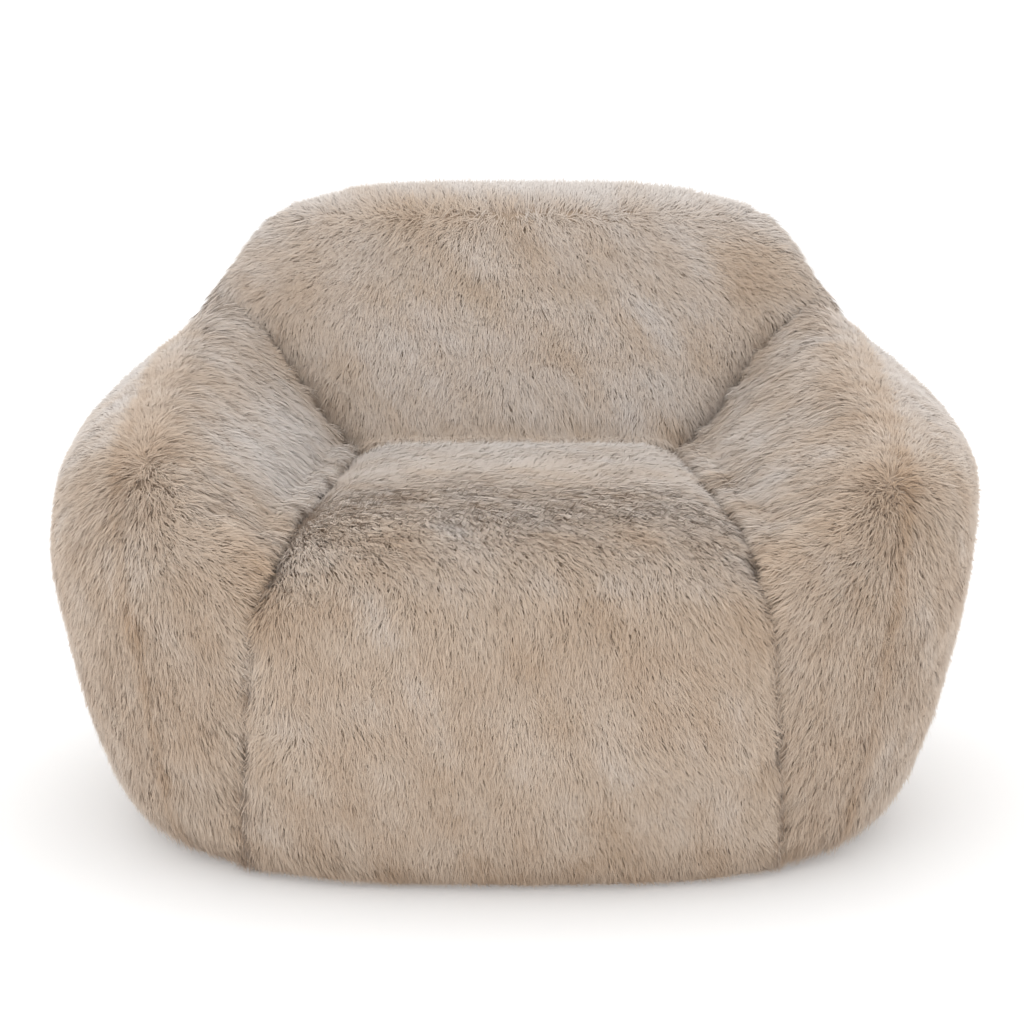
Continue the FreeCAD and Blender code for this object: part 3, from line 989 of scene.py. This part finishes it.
class BackComb(Comb):
    """The inside of the back: brushed down in the middle and outwards at its top corners."""

    def flow(self, p: np.ndarray) -> np.ndarray:
        """Down, turning outwards to the sides and over the rim at the top.

        Args:
            p: places in metres, one a row.

        Returns:
            A direction at each place.
        """
        side = np.clip(p[:, 0] / 0.30, -1.3, 1.3)
        high = smooth_step(0.52, 0.66, p[:, 2])
        rim = smooth_step(0.668, 0.708, p[:, 2])
        down = -1.0 + 0.75 * high * np.abs(side) + 1.3 * rim
        return np.stack([side * (0.15 + 0.85 * high) * (1 - 0.6 * rim), 1.5 * rim, down], 1)

    def flat(self, p: np.ndarray) -> np.ndarray:
        """Pressed flatter over the rim."""
        return 0.3 * smooth_step(0.68, 0.71, p[:, 2])

    def dark(self, p: np.ndarray) -> np.ndarray:
        """A parting just under the rim.

        Args:
            p: places in metres, one a row.

        Returns:
            A value for each place.
        """
        band = near(p, (0.0, 0.28, 0.668), (0.33, 0.09, 0.028)) * (0.7 + 0.3 * Waves(0.16, 43).at(p))
        left = near(p, (-0.10, 0.28, 0.685), (0.08, 0.1, 0.026))
        middle = near(p, (-0.04, 0.26, 0.60), (0.06, 0.1, 0.035))
        right = near(p, (0.31, 0.24, 0.62), (0.06, 0.1, 0.05))
        return 0.28 * band + 0.55 * left + 0.22 * middle + 0.50 * right

    def pale(self, p: np.ndarray, n: np.ndarray) -> np.ndarray:
        """Painted sheen over the rim, and paler towards its sides and a little over the whole panel."""
        return 0.74 * self.rim(p, n) + 0.38 + 0.4 * smooth_step(0.30, 0.40, np.abs(p[:, 0]))


@dataclass(frozen=True)
class ArmMarks:
    """Where one arm's pile parts, mirrored to the right: its heart, its corner, which also places the
    painted shade beside the seat, and their strengths.
    """

    heart: tuple
    corner: tuple
    crest: float
    line: float
    slope: float


MARKS = {
    Side.RIGHT: ArmMarks((0.427, -0.325, 0.445), (0.268, -0.425, 0.395), crest=0.32, line=0.28, slope=0.60),
    Side.LEFT: ArmMarks((0.402, -0.290, 0.480), (0.245, -0.425, 0.405), crest=0.45, line=0.16, slope=1.35),
}


@dataclass
class ArmComb(Comb):
    """An arm and its outer side: brushed away from the front of the crest."""

    side: Side = Side.RIGHT
    seam: float = 0.60
    calm: float = 0.07

    def mirrored(self, p: np.ndarray) -> np.ndarray:
        """Returns the places of a left arm mirrored to the right, and a right arm's own."""
        return p * np.array([self.side.value, 1, 1])

    def flow(self, p: np.ndarray) -> np.ndarray:
        """Away from the heart of the crest: inwards, down the front, and back along the side.

        Args:
            p: places in metres, one a row.

        Returns:
            A direction at each place.
        """
        own = self.mirrored(p)
        x = own[:, 0]
        away = own - np.array(MARKS[self.side].heart)
        gap = np.linalg.norm(away, axis=1)
        away = away / np.maximum(gap, self.calm)[:, None]
        inner = smooth_step(0.44, 0.37, x) * smooth_step(0.30, 0.40, p[:, 2])
        outer = smooth_step(0.44, 0.50, x)
        sideways = 0.9 * away[:, 0] - 0.9 * inner + 0.6 * outer
        lengthways = away[:, 1] * (1 - 0.75 * inner)
        down = 0.7 * away[:, 2] - 0.32
        return np.stack([sideways * self.side.value, lengthways, down], 1)

    def dark(self, p: np.ndarray) -> np.ndarray:
        """A parting over the front of the crest and a darker patch on top, with painted shade in the corner
        beside the seat, down the lower face and along the floor.

        Args:
            p: places in metres, one a row.

        Returns:
            A value for each place.
        """
        own = self.mirrored(p)
        marks = MARKS[self.side]
        crest = near(own, marks.heart, (0.065, 0.08, 0.045))
        line = along(own, marks.corner, marks.heart, 0.035)
        # Painted shade in the corner beside the seat.
        corner = near(own, marks.corner, (0.04, 0.05, 0.045))
        top = near(own, (0.40, -0.12, 0.52), (0.07, 0.12, 0.05))
        # Painted shade: darker along the floor and down the lower face.
        low = self.floor_shade(p)
        face = 0.18 * smooth_step(0.43, 0.34, p[:, 2])
        darkened = marks.crest * crest + marks.line * line
        return darkened + 0.30 * corner + 0.20 * top + 0.8 * low + face

    def pale(self, p: np.ndarray, n: np.ndarray) -> np.ndarray:
        """Painted light on the up-facing shoulder and top, and a paler patch down the inner slope.

        Args:
            p: places in metres, one a row.
            n: the surface's normals there.

        Returns:
            A value for each place.
        """
        own = self.mirrored(p)
        # Painted light: up-facing parts of the shoulder and top are paler.
        shoulder = smooth_step(0.35, 0.8, n[:, 2]) * smooth_step(0.40, 0.47, own[:, 0])
        shoulder = shoulder * smooth_step(-0.28, -0.12, p[:, 1])
        slope = near(own, (0.29, -0.10, 0.445), (0.09, 0.20, 0.07))
        top = smooth_step(0.5, 0.9, n[:, 2]) * smooth_step(-0.1, 0.1, p[:, 1])
        return 0.7 * shoulder + MARKS[self.side].slope * slope + 0.45 * top


class RearComb(Comb):
    """The outside of the back: brushed down, away from the zip and from the rim."""

    def flow(self, p: np.ndarray) -> np.ndarray:
        """Down, and outwards beside the zip.

        Args:
            p: places in metres, one a row.

        Returns:
            A direction at each place.
        """
        away = np.sign(p[:, 0]) * smooth_step(0.11, 0.02, np.abs(p[:, 0]))
        side = np.clip(p[:, 0] / 0.45, -1, 1)
        rim = smooth_step(0.66, 0.70, p[:, 2])
        return np.stack([0.9 * away + 0.25 * side, 0.9 * rim, -1.0 + 0.8 * rim], 1)

    def flat(self, p: np.ndarray) -> np.ndarray:
        """Pressed flatter over the rim."""
        return 0.3 * smooth_step(0.68, 0.71, p[:, 2])

    def dark(self, p: np.ndarray) -> np.ndarray:
        """A faint parting each side of the centre seam and random darker patches, with painted shade along
        the floor.

        Args:
            p: places in metres, one a row.

        Returns:
            A value for each place.
        """
        # Painted shade: darker along the floor.
        low = self.floor_shade(p)
        seam = smooth_step(0.05, 0.01, np.abs(p[:, 0]))
        return 0.3 * seam + 0.2 * np.clip(Waves(0.22, 51).at(p), 0, 1) + 0.8 * low

    def pale(self, p: np.ndarray, n: np.ndarray) -> np.ndarray:
        """Painted sheen over the rim, and paler at the shoulders."""
        shoulder = smooth_step(0.28, 0.38, np.abs(p[:, 0])) * smooth_step(0.46, 0.58, p[:, 2])
        return 0.8 * self.rim(p, n) + 0.5 * shoulder


@dataclass
class Roots:
    """Where hairs grow: places, normals, depth in a crevice, distance to a seam, way to the next bag."""

    place: np.ndarray
    normal: np.ndarray
    depth: np.ndarray
    seam: np.ndarray
    bridge: np.ndarray


@dataclass
class Pile:
    """The strands of one panel, grown in small locks from its backing.

    Densities are locks and short hairs a square metre, and lengths are in metres. Angles are in
    radians. Tones go from 0, dark, to 1, pale.
    """

    panels: ClassVar[dict[str, tuple]] = {}
    SUNK_ROOT: ClassVar[float] = 0.002
    FLOOR_SPREAD: ClassVar[float] = 0.004

    panel: str
    comb: Comb
    seed: int
    density: float = 45000.0
    under: float = 85000.0
    per_lock: int = 6
    length: float = 0.028
    width: float = 0.00095
    most: int = 195000
    rings: tuple = (0.0, 0.45, 1.0)
    bridging: float = 0.5
    lock_spread: float = 0.0024
    clump: float = 0.2
    droop: float = 0.22
    seam_width: float = 0.007
    # How far partings and painted shade darken the tone, and how far painted light and paler patches lift
    # it.
    darkened_tone: float = 0.42
    pale_share: float = 0.40
    under_width: float = 1.3

    def roots(self, rng: np.random.Generator, density: float) -> Roots:
        """Spreads roots evenly over the backing, apart from the slot that is kept clear for the zip.

        Args:
            rng: the panel's own random numbers.
            density: how many a square metre.

        Returns:
            The roots.
        """
        mesh, reach = Pile.panels[self.panel]
        points, normals = mesh_arrays(mesh)
        mesh.calc_loop_triangles()
        corners = np.empty(len(mesh.loop_triangles) * 3, dtype=np.int32)
        mesh.loop_triangles.foreach_get("vertices", corners)
        corners = corners.reshape(-1, 3)
        a, b, c = (points[corners[:, i]] for i in range(3))
        area = np.linalg.norm(np.cross(b - a, c - a), axis=1) / 2
        total = np.cumsum(area)
        count = int(density * total[-1])
        picks = (np.arange(count) + rng.uniform(0, 1, count)) / count * total[-1]
        face = np.minimum(np.searchsorted(total, picks), len(area) - 1)
        u, v = rng.uniform(0, 1, (2, count))
        flip = u + v > 1
        u[flip], v[flip] = 1 - u[flip], 1 - v[flip]
        share = np.stack([1 - u - v, u, v], 1)[:, :, None]
        place = (points[corners[face]] * share).sum(1)
        normal = unit((normals[corners[face]] * share).sum(1))
        depth, seam, *bridge = (reach[corners[face]] * share).sum(1).T
        clear = self.clear_of_zip(place)
        return Roots(place[clear], normal[clear], depth[clear], seam[clear], np.stack(bridge, 1)[clear])

    def brushed(self, roots: Roots, rng: np.random.Generator) -> np.ndarray:
        """Works out which way the pile lies.

        Args:
            roots: the roots of the hairs.
            rng: the panel's own random numbers.

        Returns:
            A direction along the surface at each root.
        """
        place, normal = roots.place, roots.normal
        blurred = place + rng.normal(0, 0.006, place.shape)
        flow = unit(self.comb.flow(blurred)) + self.bridging * roots.bridge
        flow = unit(flow - normal * (flow * normal).sum(1)[:, None])
        turn = 0.13 * Waves(0.13, 7).at(place) + 0.10 * Waves(0.05, 8).at(place)
        ruffled = 0.16 + 0.35 * np.clip(self.comb.dark(place), 0, 1) * smooth_step(0.05, 0.15, place[:, 2])
        return self.turned(flow, normal, turn + ruffled * rng.normal(0, 1, len(place)))

    def shade(self, roots: Roots) -> tuple:
        """Works out how far the pile is darkened, by partings and by painted shade, and how pale it is,
        mostly with painted light.

        Args:
            roots: the roots of the hairs.

        Returns:
            How far it is darkened by partings and painted shade, and its tone from 0, dark, to 1, pale,
            which carries painted light and shade too.
        """
        place = roots.place
        line = self.comb.seam * np.exp(-((roots.seam / self.seam_width) ** 2))
        darkened = np.clip(self.comb.dark(place) + line + 0.08 * Waves(0.10, 11).at(place), -0.1, 1.0)
        # Painted light and painted sheen on up-facing parts and rims, with some paler patches, lift the
        # tone.
        painted_light_and_pale = self.comb.pale(place, roots.normal)
        tone = 0.50 - self.darkened_tone * darkened + self.pale_share * painted_light_and_pale
        tone = tone + 0.05 * Waves(0.06, 12).at(place) + 0.04 * Waves(0.2, 13).at(place)
        # Painted shade: the tone is darker where the backing sinks into a crevice between bags.
        return darkened, tone - 0.12 * smooth_step(0.014, 0.034, roots.depth)

    def grow(self) -> None:
        """Makes the strands and their meshes."""
        rng = np.random.default_rng(self.seed)
        roots = self.roots(rng, self.density)
        place, normal = roots.place, roots.normal
        count = len(place)
        flow = self.brushed(roots, rng)
        darkened, tone = self.shade(roots)
        flat = self.comb.flat(place)
        lean = 0.90 - 0.14 * darkened + 0.16 * flat + rng.normal(0, 0.04, count)
        reach = self.length * (1.0 + 0.06 * Waves(0.07, 9).at(place)) * rng.uniform(0.9, 1.1, count)
        reach = reach * (1 - 0.30 * flat) * (1 - 0.15 * smooth_step(0.014, 0.034, roots.depth))
        reach = reach * (1 + 0.35 * smooth_step(0.07, 0.03, place[:, 2]))
        tone = tone + rng.normal(0, 0.02, count)
        per = self.per_lock
        place, normal, flow = (np.repeat(v, per, 0) for v in (place, normal, flow))
        lean, reach, tone = (np.repeat(v, per) for v in (lean, reach, tone))
        total = count * per
        side = np.cross(normal, flow)
        offset = rng.normal(0, self.lock_spread, (2, total))
        start = place + flow * offset[0][:, None] + side * offset[1][:, None]
        own = self.turned(flow, normal, rng.normal(0, 0.15, total))
        lean = lean + rng.normal(0, 0.06, total)
        reach = reach * rng.uniform(0.78, 1.06, total)
        tone = tone + rng.normal(0, 0.035, total)
        path = self.path(start, normal, own, lean, reach, rng)
        lock_tip = place + (path[-1] - start)
        path = [p + (lock_tip - path[-1]) * (self.clump * (t**2)) for p, t in zip(path, self.rings)]
        self.to_meshes(path, normal, tone, rng)

    def undercoat(self, rng: np.random.Generator) -> tuple:
        """Makes the short, dense hair below the strands, one triangle each.

        Args:
            rng: the panel's own random numbers.

        Returns:
            The corners, the normals and the tone of each hair.
        """
        roots = self.roots(rng, self.under)
        place, normal = roots.place, roots.normal
        flow = self.brushed(roots, rng)
        _, tone = self.shade(roots)
        count = len(place)
        reach = self.length * rng.uniform(0.50, 0.75, count)
        tilt = rng.normal(0.98, 0.10, count)
        way = normal * np.cos(tilt)[:, None] + flow * np.sin(tilt)[:, None]
        across = unit(np.cross(way, normal)) * (self.width * self.under_width)
        start = place - normal * self.SUNK_ROOT
        return np.stack([start - across, start + across, start + way * reach[:, None]], 1), normal, tone

    @staticmethod
    def clear_of_zip(place: np.ndarray) -> np.ndarray:
        """Returns which places are outside the slot that is kept clear for the zip.

        Args:
            place: places in metres, one a row.

        Returns:
            True or False for each place.
        """
        low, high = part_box("zip_tape_right")
        left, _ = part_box("zip_tape_left")
        behind = place[:, 1] > 0.3
        beside = np.abs(place[:, 0]) < high.x + 0.002
        level = (place[:, 2] > low.z - 0.004) & (place[:, 2] < high.z + 0.030)
        return ~(behind & beside & level)

    @staticmethod
    def turned(flow: np.ndarray, normal: np.ndarray, angle: np.ndarray) -> np.ndarray:
        """Returns the directions turned about their normals by the angles."""
        side = np.cross(normal, flow)
        return flow * np.cos(angle)[:, None] + side * np.sin(angle)[:, None]

    def path(
        self,
        start: np.ndarray,
        normal: np.ndarray,
        flow: np.ndarray,
        lean: np.ndarray,
        reach: np.ndarray,
        rng: np.random.Generator,
    ) -> list[np.ndarray]:
        """Bends each strand over from its root to its tip.

        Args:
            start: the roots.
            normal: the backing's normals there.
            flow: the way each strand is brushed.
            lean: how far it leans over, from 0, upright, to 1, flat.
            reach: its length.
            rng: the panel's own random numbers.

        Returns:
            The places of each ring of points, root first.
        """
        place = start - normal * self.SUNK_ROOT
        rings = [place]
        bend = rng.normal(0, 0.16, len(start))
        side = np.cross(normal, flow)
        for low, high in zip(self.rings, self.rings[1:]):
            middle = (low + high) / 2
            tilt = np.clip(lean * (0.50 + 0.72 * middle), 0.05, 1.08) * math.pi / 2
            way = normal * np.cos(tilt)[:, None] + flow * np.sin(tilt)[:, None]
            way = way + side * (bend * middle)[:, None]
            way[:, 2] -= self.droop * middle
            place = place + unit(way) * (reach * (high - low))[:, None]
            rings.append(place)
        return rings

    def to_meshes(
        self, path: list[np.ndarray], normal: np.ndarray, tone: np.ndarray, rng: np.random.Generator
    ) -> None:
        """Turns the strands into tapered ribbons, shared out among a few meshes.

        Args:
            path: the rings of points.
            normal: the backing's normals.
            tone: each strand's tone, from 0, dark, to 1, pale.
            rng: the panel's own random numbers.
        """
        total = len(normal)
        roll = rng.normal(0, 0.35, total)
        wide = self.width * rng.uniform(0.7, 1.25, total)
        way = unit(path[2] - path[0])
        across = unit(np.cross(way, normal))
        up = np.cross(across, way)
        across = across * np.cos(roll)[:, None] + up * np.sin(roll)[:, None]
        half = across * (wide / 2)[:, None]
        points = np.stack([path[0], path[1] - half, path[1] + half, path[2]], 1)
        under, under_normal, under_tone = self.undercoat(rng)
        for corners in (points, under):
            lowest = FLOOR_CLEARANCE + self.FLOOR_SPREAD * rng.uniform(0, 1, (len(corners), 1))
            corners[:, :, 2] = np.maximum(corners[:, :, 2], lowest)
        parts = -(-(total * 2 + len(under)) // self.most)
        order = zip(np.array_split(np.arange(total), parts), np.array_split(np.arange(len(under)), parts))
        for number, (mine, short) in enumerate(order):
            name = f"{self.panel}_pile" + (f"_{number + 1}" if parts > 1 else "")
            coats = (
                Coat(points[mine], normal[mine], tone[mine], (0, 2, 1, 1, 2, 3), (0, 3)),
                Coat(under[short], under_normal[short], under_tone[short], (0, 1, 2), (0,)),
            )
            piece = ribbons(name, coats)
            piece.data.materials.append(FurFinish().material())
            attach(piece, BODY)
            log.info("pile %s: %d strands, %d short hairs", name, len(mine), len(short))


@dataclass
class Coat:
    """Many hairs of the same make.

    points holds each hair's corners, shape lists the corners of its faces one after another, and
    starts says where each face begins in that list.
    """

    points: np.ndarray
    normal: np.ndarray
    tone: np.ndarray
    shape: tuple
    starts: tuple

    HEIGHTS = {4: (0.0, 0.45, 0.45, 1.0), 3: (0.15, 0.15, 0.80)}
    SIDES = {4: (0.5, 0.12, 0.88, 0.5), 3: (0.12, 0.88, 0.5)}
    COLUMNS = 48

    def map(self) -> np.ndarray:
        """Returns each corner's place in the map: its tone across and its height up.

        Returns:
            Two numbers for each corner of each face.
        """
        each = self.points.shape[1]
        column = np.floor(np.clip(self.tone, 0, 0.999) * self.COLUMNS)[:, None]
        across = (column + np.array(self.SIDES[each])) / self.COLUMNS
        up = np.broadcast_to(np.array(self.HEIGHTS[each]) * 0.98 + 0.01, across.shape)
        return np.stack([across, up], 2)[:, self.shape]

    def corners(self) -> np.ndarray:
        """Returns the vertex numbers of the faces' corners, from 0."""
        each = self.points.shape[1]
        return (np.arange(len(self.points))[:, None] * each + np.array(self.shape)).ravel()

    def faces(self) -> np.ndarray:
        """Returns where each face starts among the corners, from 0."""
        return (np.arange(len(self.points))[:, None] * len(self.shape) + np.array(self.starts)).ravel()


def ribbons(name: str, coats: tuple) -> bpy.types.Object:
    """Makes one mesh of many hairs.

    Args:
        name: the object's name.
        coats: the hairs, coat by coat.

    Returns:
        The new object.
    """
    mesh = bpy.data.meshes.new(name)
    places = np.concatenate([coat.points.reshape(-1, 3) for coat in coats])
    corners, starts, vertex, loop = [], [], 0, 0
    for coat in coats:
        corners.append(coat.corners() + vertex)
        starts.append(coat.faces() + loop)
        vertex += coat.points.shape[0] * coat.points.shape[1]
        loop += len(corners[-1])
    corners, starts = np.concatenate(corners), np.concatenate(starts)
    mesh.vertices.add(len(places))
    mesh.vertices.foreach_set("co", places.astype(np.float32).ravel())
    mesh.loops.add(len(corners))
    mesh.loops.foreach_set("vertex_index", corners.astype(np.int32))
    mesh.polygons.add(len(starts))
    mesh.polygons.foreach_set("loop_start", starts.astype(np.int32))
    mesh.update(calc_edges=True)
    uv = mesh.uv_layers.new(name=UV_MAP)
    spots = np.concatenate([coat.map().reshape(-1, 2) for coat in coats])
    uv.data.foreach_set("uv", spots.astype(np.float32).ravel())
    smooth_shade(mesh)
    mesh.validate()
    soft = [np.repeat(coat.normal, coat.points.shape[1], 0) for coat in coats]
    mesh.normals_split_custom_set_from_vertices(np.concatenate(soft).astype(np.float32))
    piece = bpy.data.objects.new(name, mesh)
    bpy.context.scene.collection.objects.link(piece)
    return piece


# ---------------------------------------------------------------- hard parts and the base


@dataclass
class Fittings:
    """The base fabric and the zips, which keep their CAD shapes."""

    tape: ClothFinish = ClothFinish(dark=(0.16, 0.12, 0.09), light=(0.34, 0.27, 0.21), threads=2600.0)
    white_tape: ClothFinish = ClothFinish(dark=(0.60, 0.59, 0.57), light=(0.84, 0.83, 0.81), threads=2600.0)
    teeth: HardFinish = HardFinish(
        color=(0.24, 0.19, 0.15), worn=(0.17, 0.13, 0.10), metallic=0.0, rough=0.42
    )
    white_teeth: HardFinish = HardFinish(color=(0.80, 0.80, 0.78), worn=(0.66, 0.66, 0.64), metallic=0.0)
    metal: HardFinish = HardFinish()

    def dress(self) -> None:
        """Gives each carried-over node its finish."""
        record_slots = {s["node"]: s["material_slot"] for s in frame["record"]["subparts"]}
        by_slot = {
            "base_fabric": GripFinish(),
            "zip_tape": self.tape,
            "zip_teeth": self.teeth,
            "zip_metal": self.metal,
            "liner_tape": self.white_tape,
        }
        for name, node in frame["nodes"].items():
            finish = by_slot.get(record_slots[name])
            if "zip_teeth" in name:
                finish = self.teeth if name.startswith("zip_teeth") else self.white_teeth
            if finish is None:
                continue
            node.data.materials.clear()
            node.data.materials.append(finish.material())
            log.info("dressed %s", name)


# ---------------------------------------------------------------- studio


@dataclass
class Studio:
    """A pale floor, soft lights and the camera."""

    distance: float = 3.8
    elevation: float = 12.0
    aim: tuple = (0.0, 0.0, 0.3527)
    lens: float = 109.4
    sky: float = 1.12
    floor_size: float = 120.0
    floor_tone: float = 0.82
    floor_glow: float = 0.22

    def floor(self) -> None:
        """Makes the wide, pale floor, which glows a little."""
        bpy.ops.object.select_all(action="DESELECT")
        bpy.ops.mesh.primitive_plane_add(size=self.floor_size, location=(0, 0, 0))
        ground = bpy.context.object
        ground.name = "studio_floor"
        made = bpy.data.materials.new("StudioFloor")
        made.use_nodes = True
        n = Nodes(made.node_tree)
        shader = n.add("ShaderNodeBsdfPrincipled")
        n.join(shader.outputs[0], n.add("ShaderNodeOutputMaterial").inputs[0])
        shader.inputs["Base Color"].default_value = (self.floor_tone,) * 3 + (1.0,)
        shader.inputs["Roughness"].default_value = 0.9
        shader.inputs["Emission Color"].default_value = (1.0, 1.0, 1.0, 1.0)
        shader.inputs["Emission Strength"].default_value = self.floor_glow
        ground.data.materials.append(made)

    def world(self) -> None:
        """Gives an even pale sky."""
        world = bpy.data.worlds.new("studio")
        world.use_nodes = True
        back = world.node_tree.nodes["Background"]
        back.inputs["Color"].default_value = (1.0, 1.0, 1.0, 1.0)
        back.inputs["Strength"].default_value = self.sky
        bpy.context.scene.world = world

    def light(self, name: str, place: tuple, aim: tuple, size: float, power: float) -> None:
        """Adds a square area light.

        Args:
            name: its name.
            place: where it is.
            aim: where it points.
            size: its side, in metres.
            power: in watts.
        """
        data = bpy.data.lights.new(name, "AREA")
        data.size = size
        data.energy = power
        lamp = bpy.data.objects.new(name, data)
        lamp.location = place
        lamp.rotation_euler = (Vector(aim) - Vector(place)).to_track_quat("-Z", "Y").to_euler()
        bpy.context.scene.collection.objects.link(lamp)

    def camera(self) -> None:
        """Adds the camera, in front and a little above."""
        data = bpy.data.cameras.new("camera")
        data.lens = self.lens
        data.sensor_width = 36.0
        view = bpy.data.objects.new("camera", data)
        angle = math.radians(self.elevation)
        target = Vector(self.aim)
        view.location = target + Vector((0, -math.cos(angle), math.sin(angle))) * self.distance
        view.rotation_euler = (target - view.location).to_track_quat("-Z", "Y").to_euler()
        bpy.context.scene.collection.objects.link(view)
        bpy.context.scene.camera = view

    def build(self) -> None:
        """Sets up the whole studio."""
        self.floor()
        self.world()
        self.light("top", (0.0, -0.3, 3.0), (0.0, 0.0, 0.3), 2.6, 10.0)
        self.light("front", (-1.2, -3.2, 2.0), (0.0, 0.0, 0.3), 2.2, 14.0)
        self.light("rear", (0.8, 2.8, 2.2), (0.0, 0.0, 0.5), 2.4, 10.0)
        self.camera()
        bpy.context.scene.view_settings.view_transform = "Standard"


def main() -> None:
    """Builds the chair's pieces in order and reports them."""
    logging.basicConfig(level=logging.INFO, format="%(name)s: %(message)s")
    Studio().build()
    panels = (
        "seat_front_cover", "inside_back_cover", "arm_cover_right", "arm_cover_left",
        "side_cover_right", "side_cover_left", "outside_back_right", "outside_back_left",
    )
    covers = Covers(panels)
    bags = [
        Bag("seat", "seat_fill", "seat_liner", ("seat_front_cover",), soften=8),
        Bag("back", "back_fill", "back_liner",
            ("inside_back_cover", "outside_back_right", "outside_back_left"), pile_height=0.003),
        Bag("arm_right", "arm_fill_right", "arm_liner_right", ("arm_cover_right", "side_cover_right"),
            pile_height=0.0125),
        Bag("arm_left", "arm_fill_left", "arm_liner_left", ("arm_cover_left", "side_cover_left"),
            pile_height=0.0125),
    ]
    for bag in bags:
        bag.build(covers)
        log.info("bag %s done", bag.name)
    piles = [
        Pile("seat_front_cover", SeatComb(), 101),
        Pile("inside_back_cover", BackComb(), 102),
        Pile("arm_cover_right", ArmComb(Side.RIGHT), 103),
        Pile("arm_cover_left", ArmComb(Side.LEFT), 104),
        Pile("side_cover_right", ArmComb(Side.RIGHT), 105, density=37000.0),
        Pile("side_cover_left", ArmComb(Side.LEFT), 106, density=37000.0),
        Pile("outside_back_right", RearComb(), 107, density=30000.0),
        Pile("outside_back_left", RearComb(), 108, density=30000.0),
    ]
    for pile in piles:
        pile.grow()
    Fittings().dress()


if __name__ == "__main__":
    main()
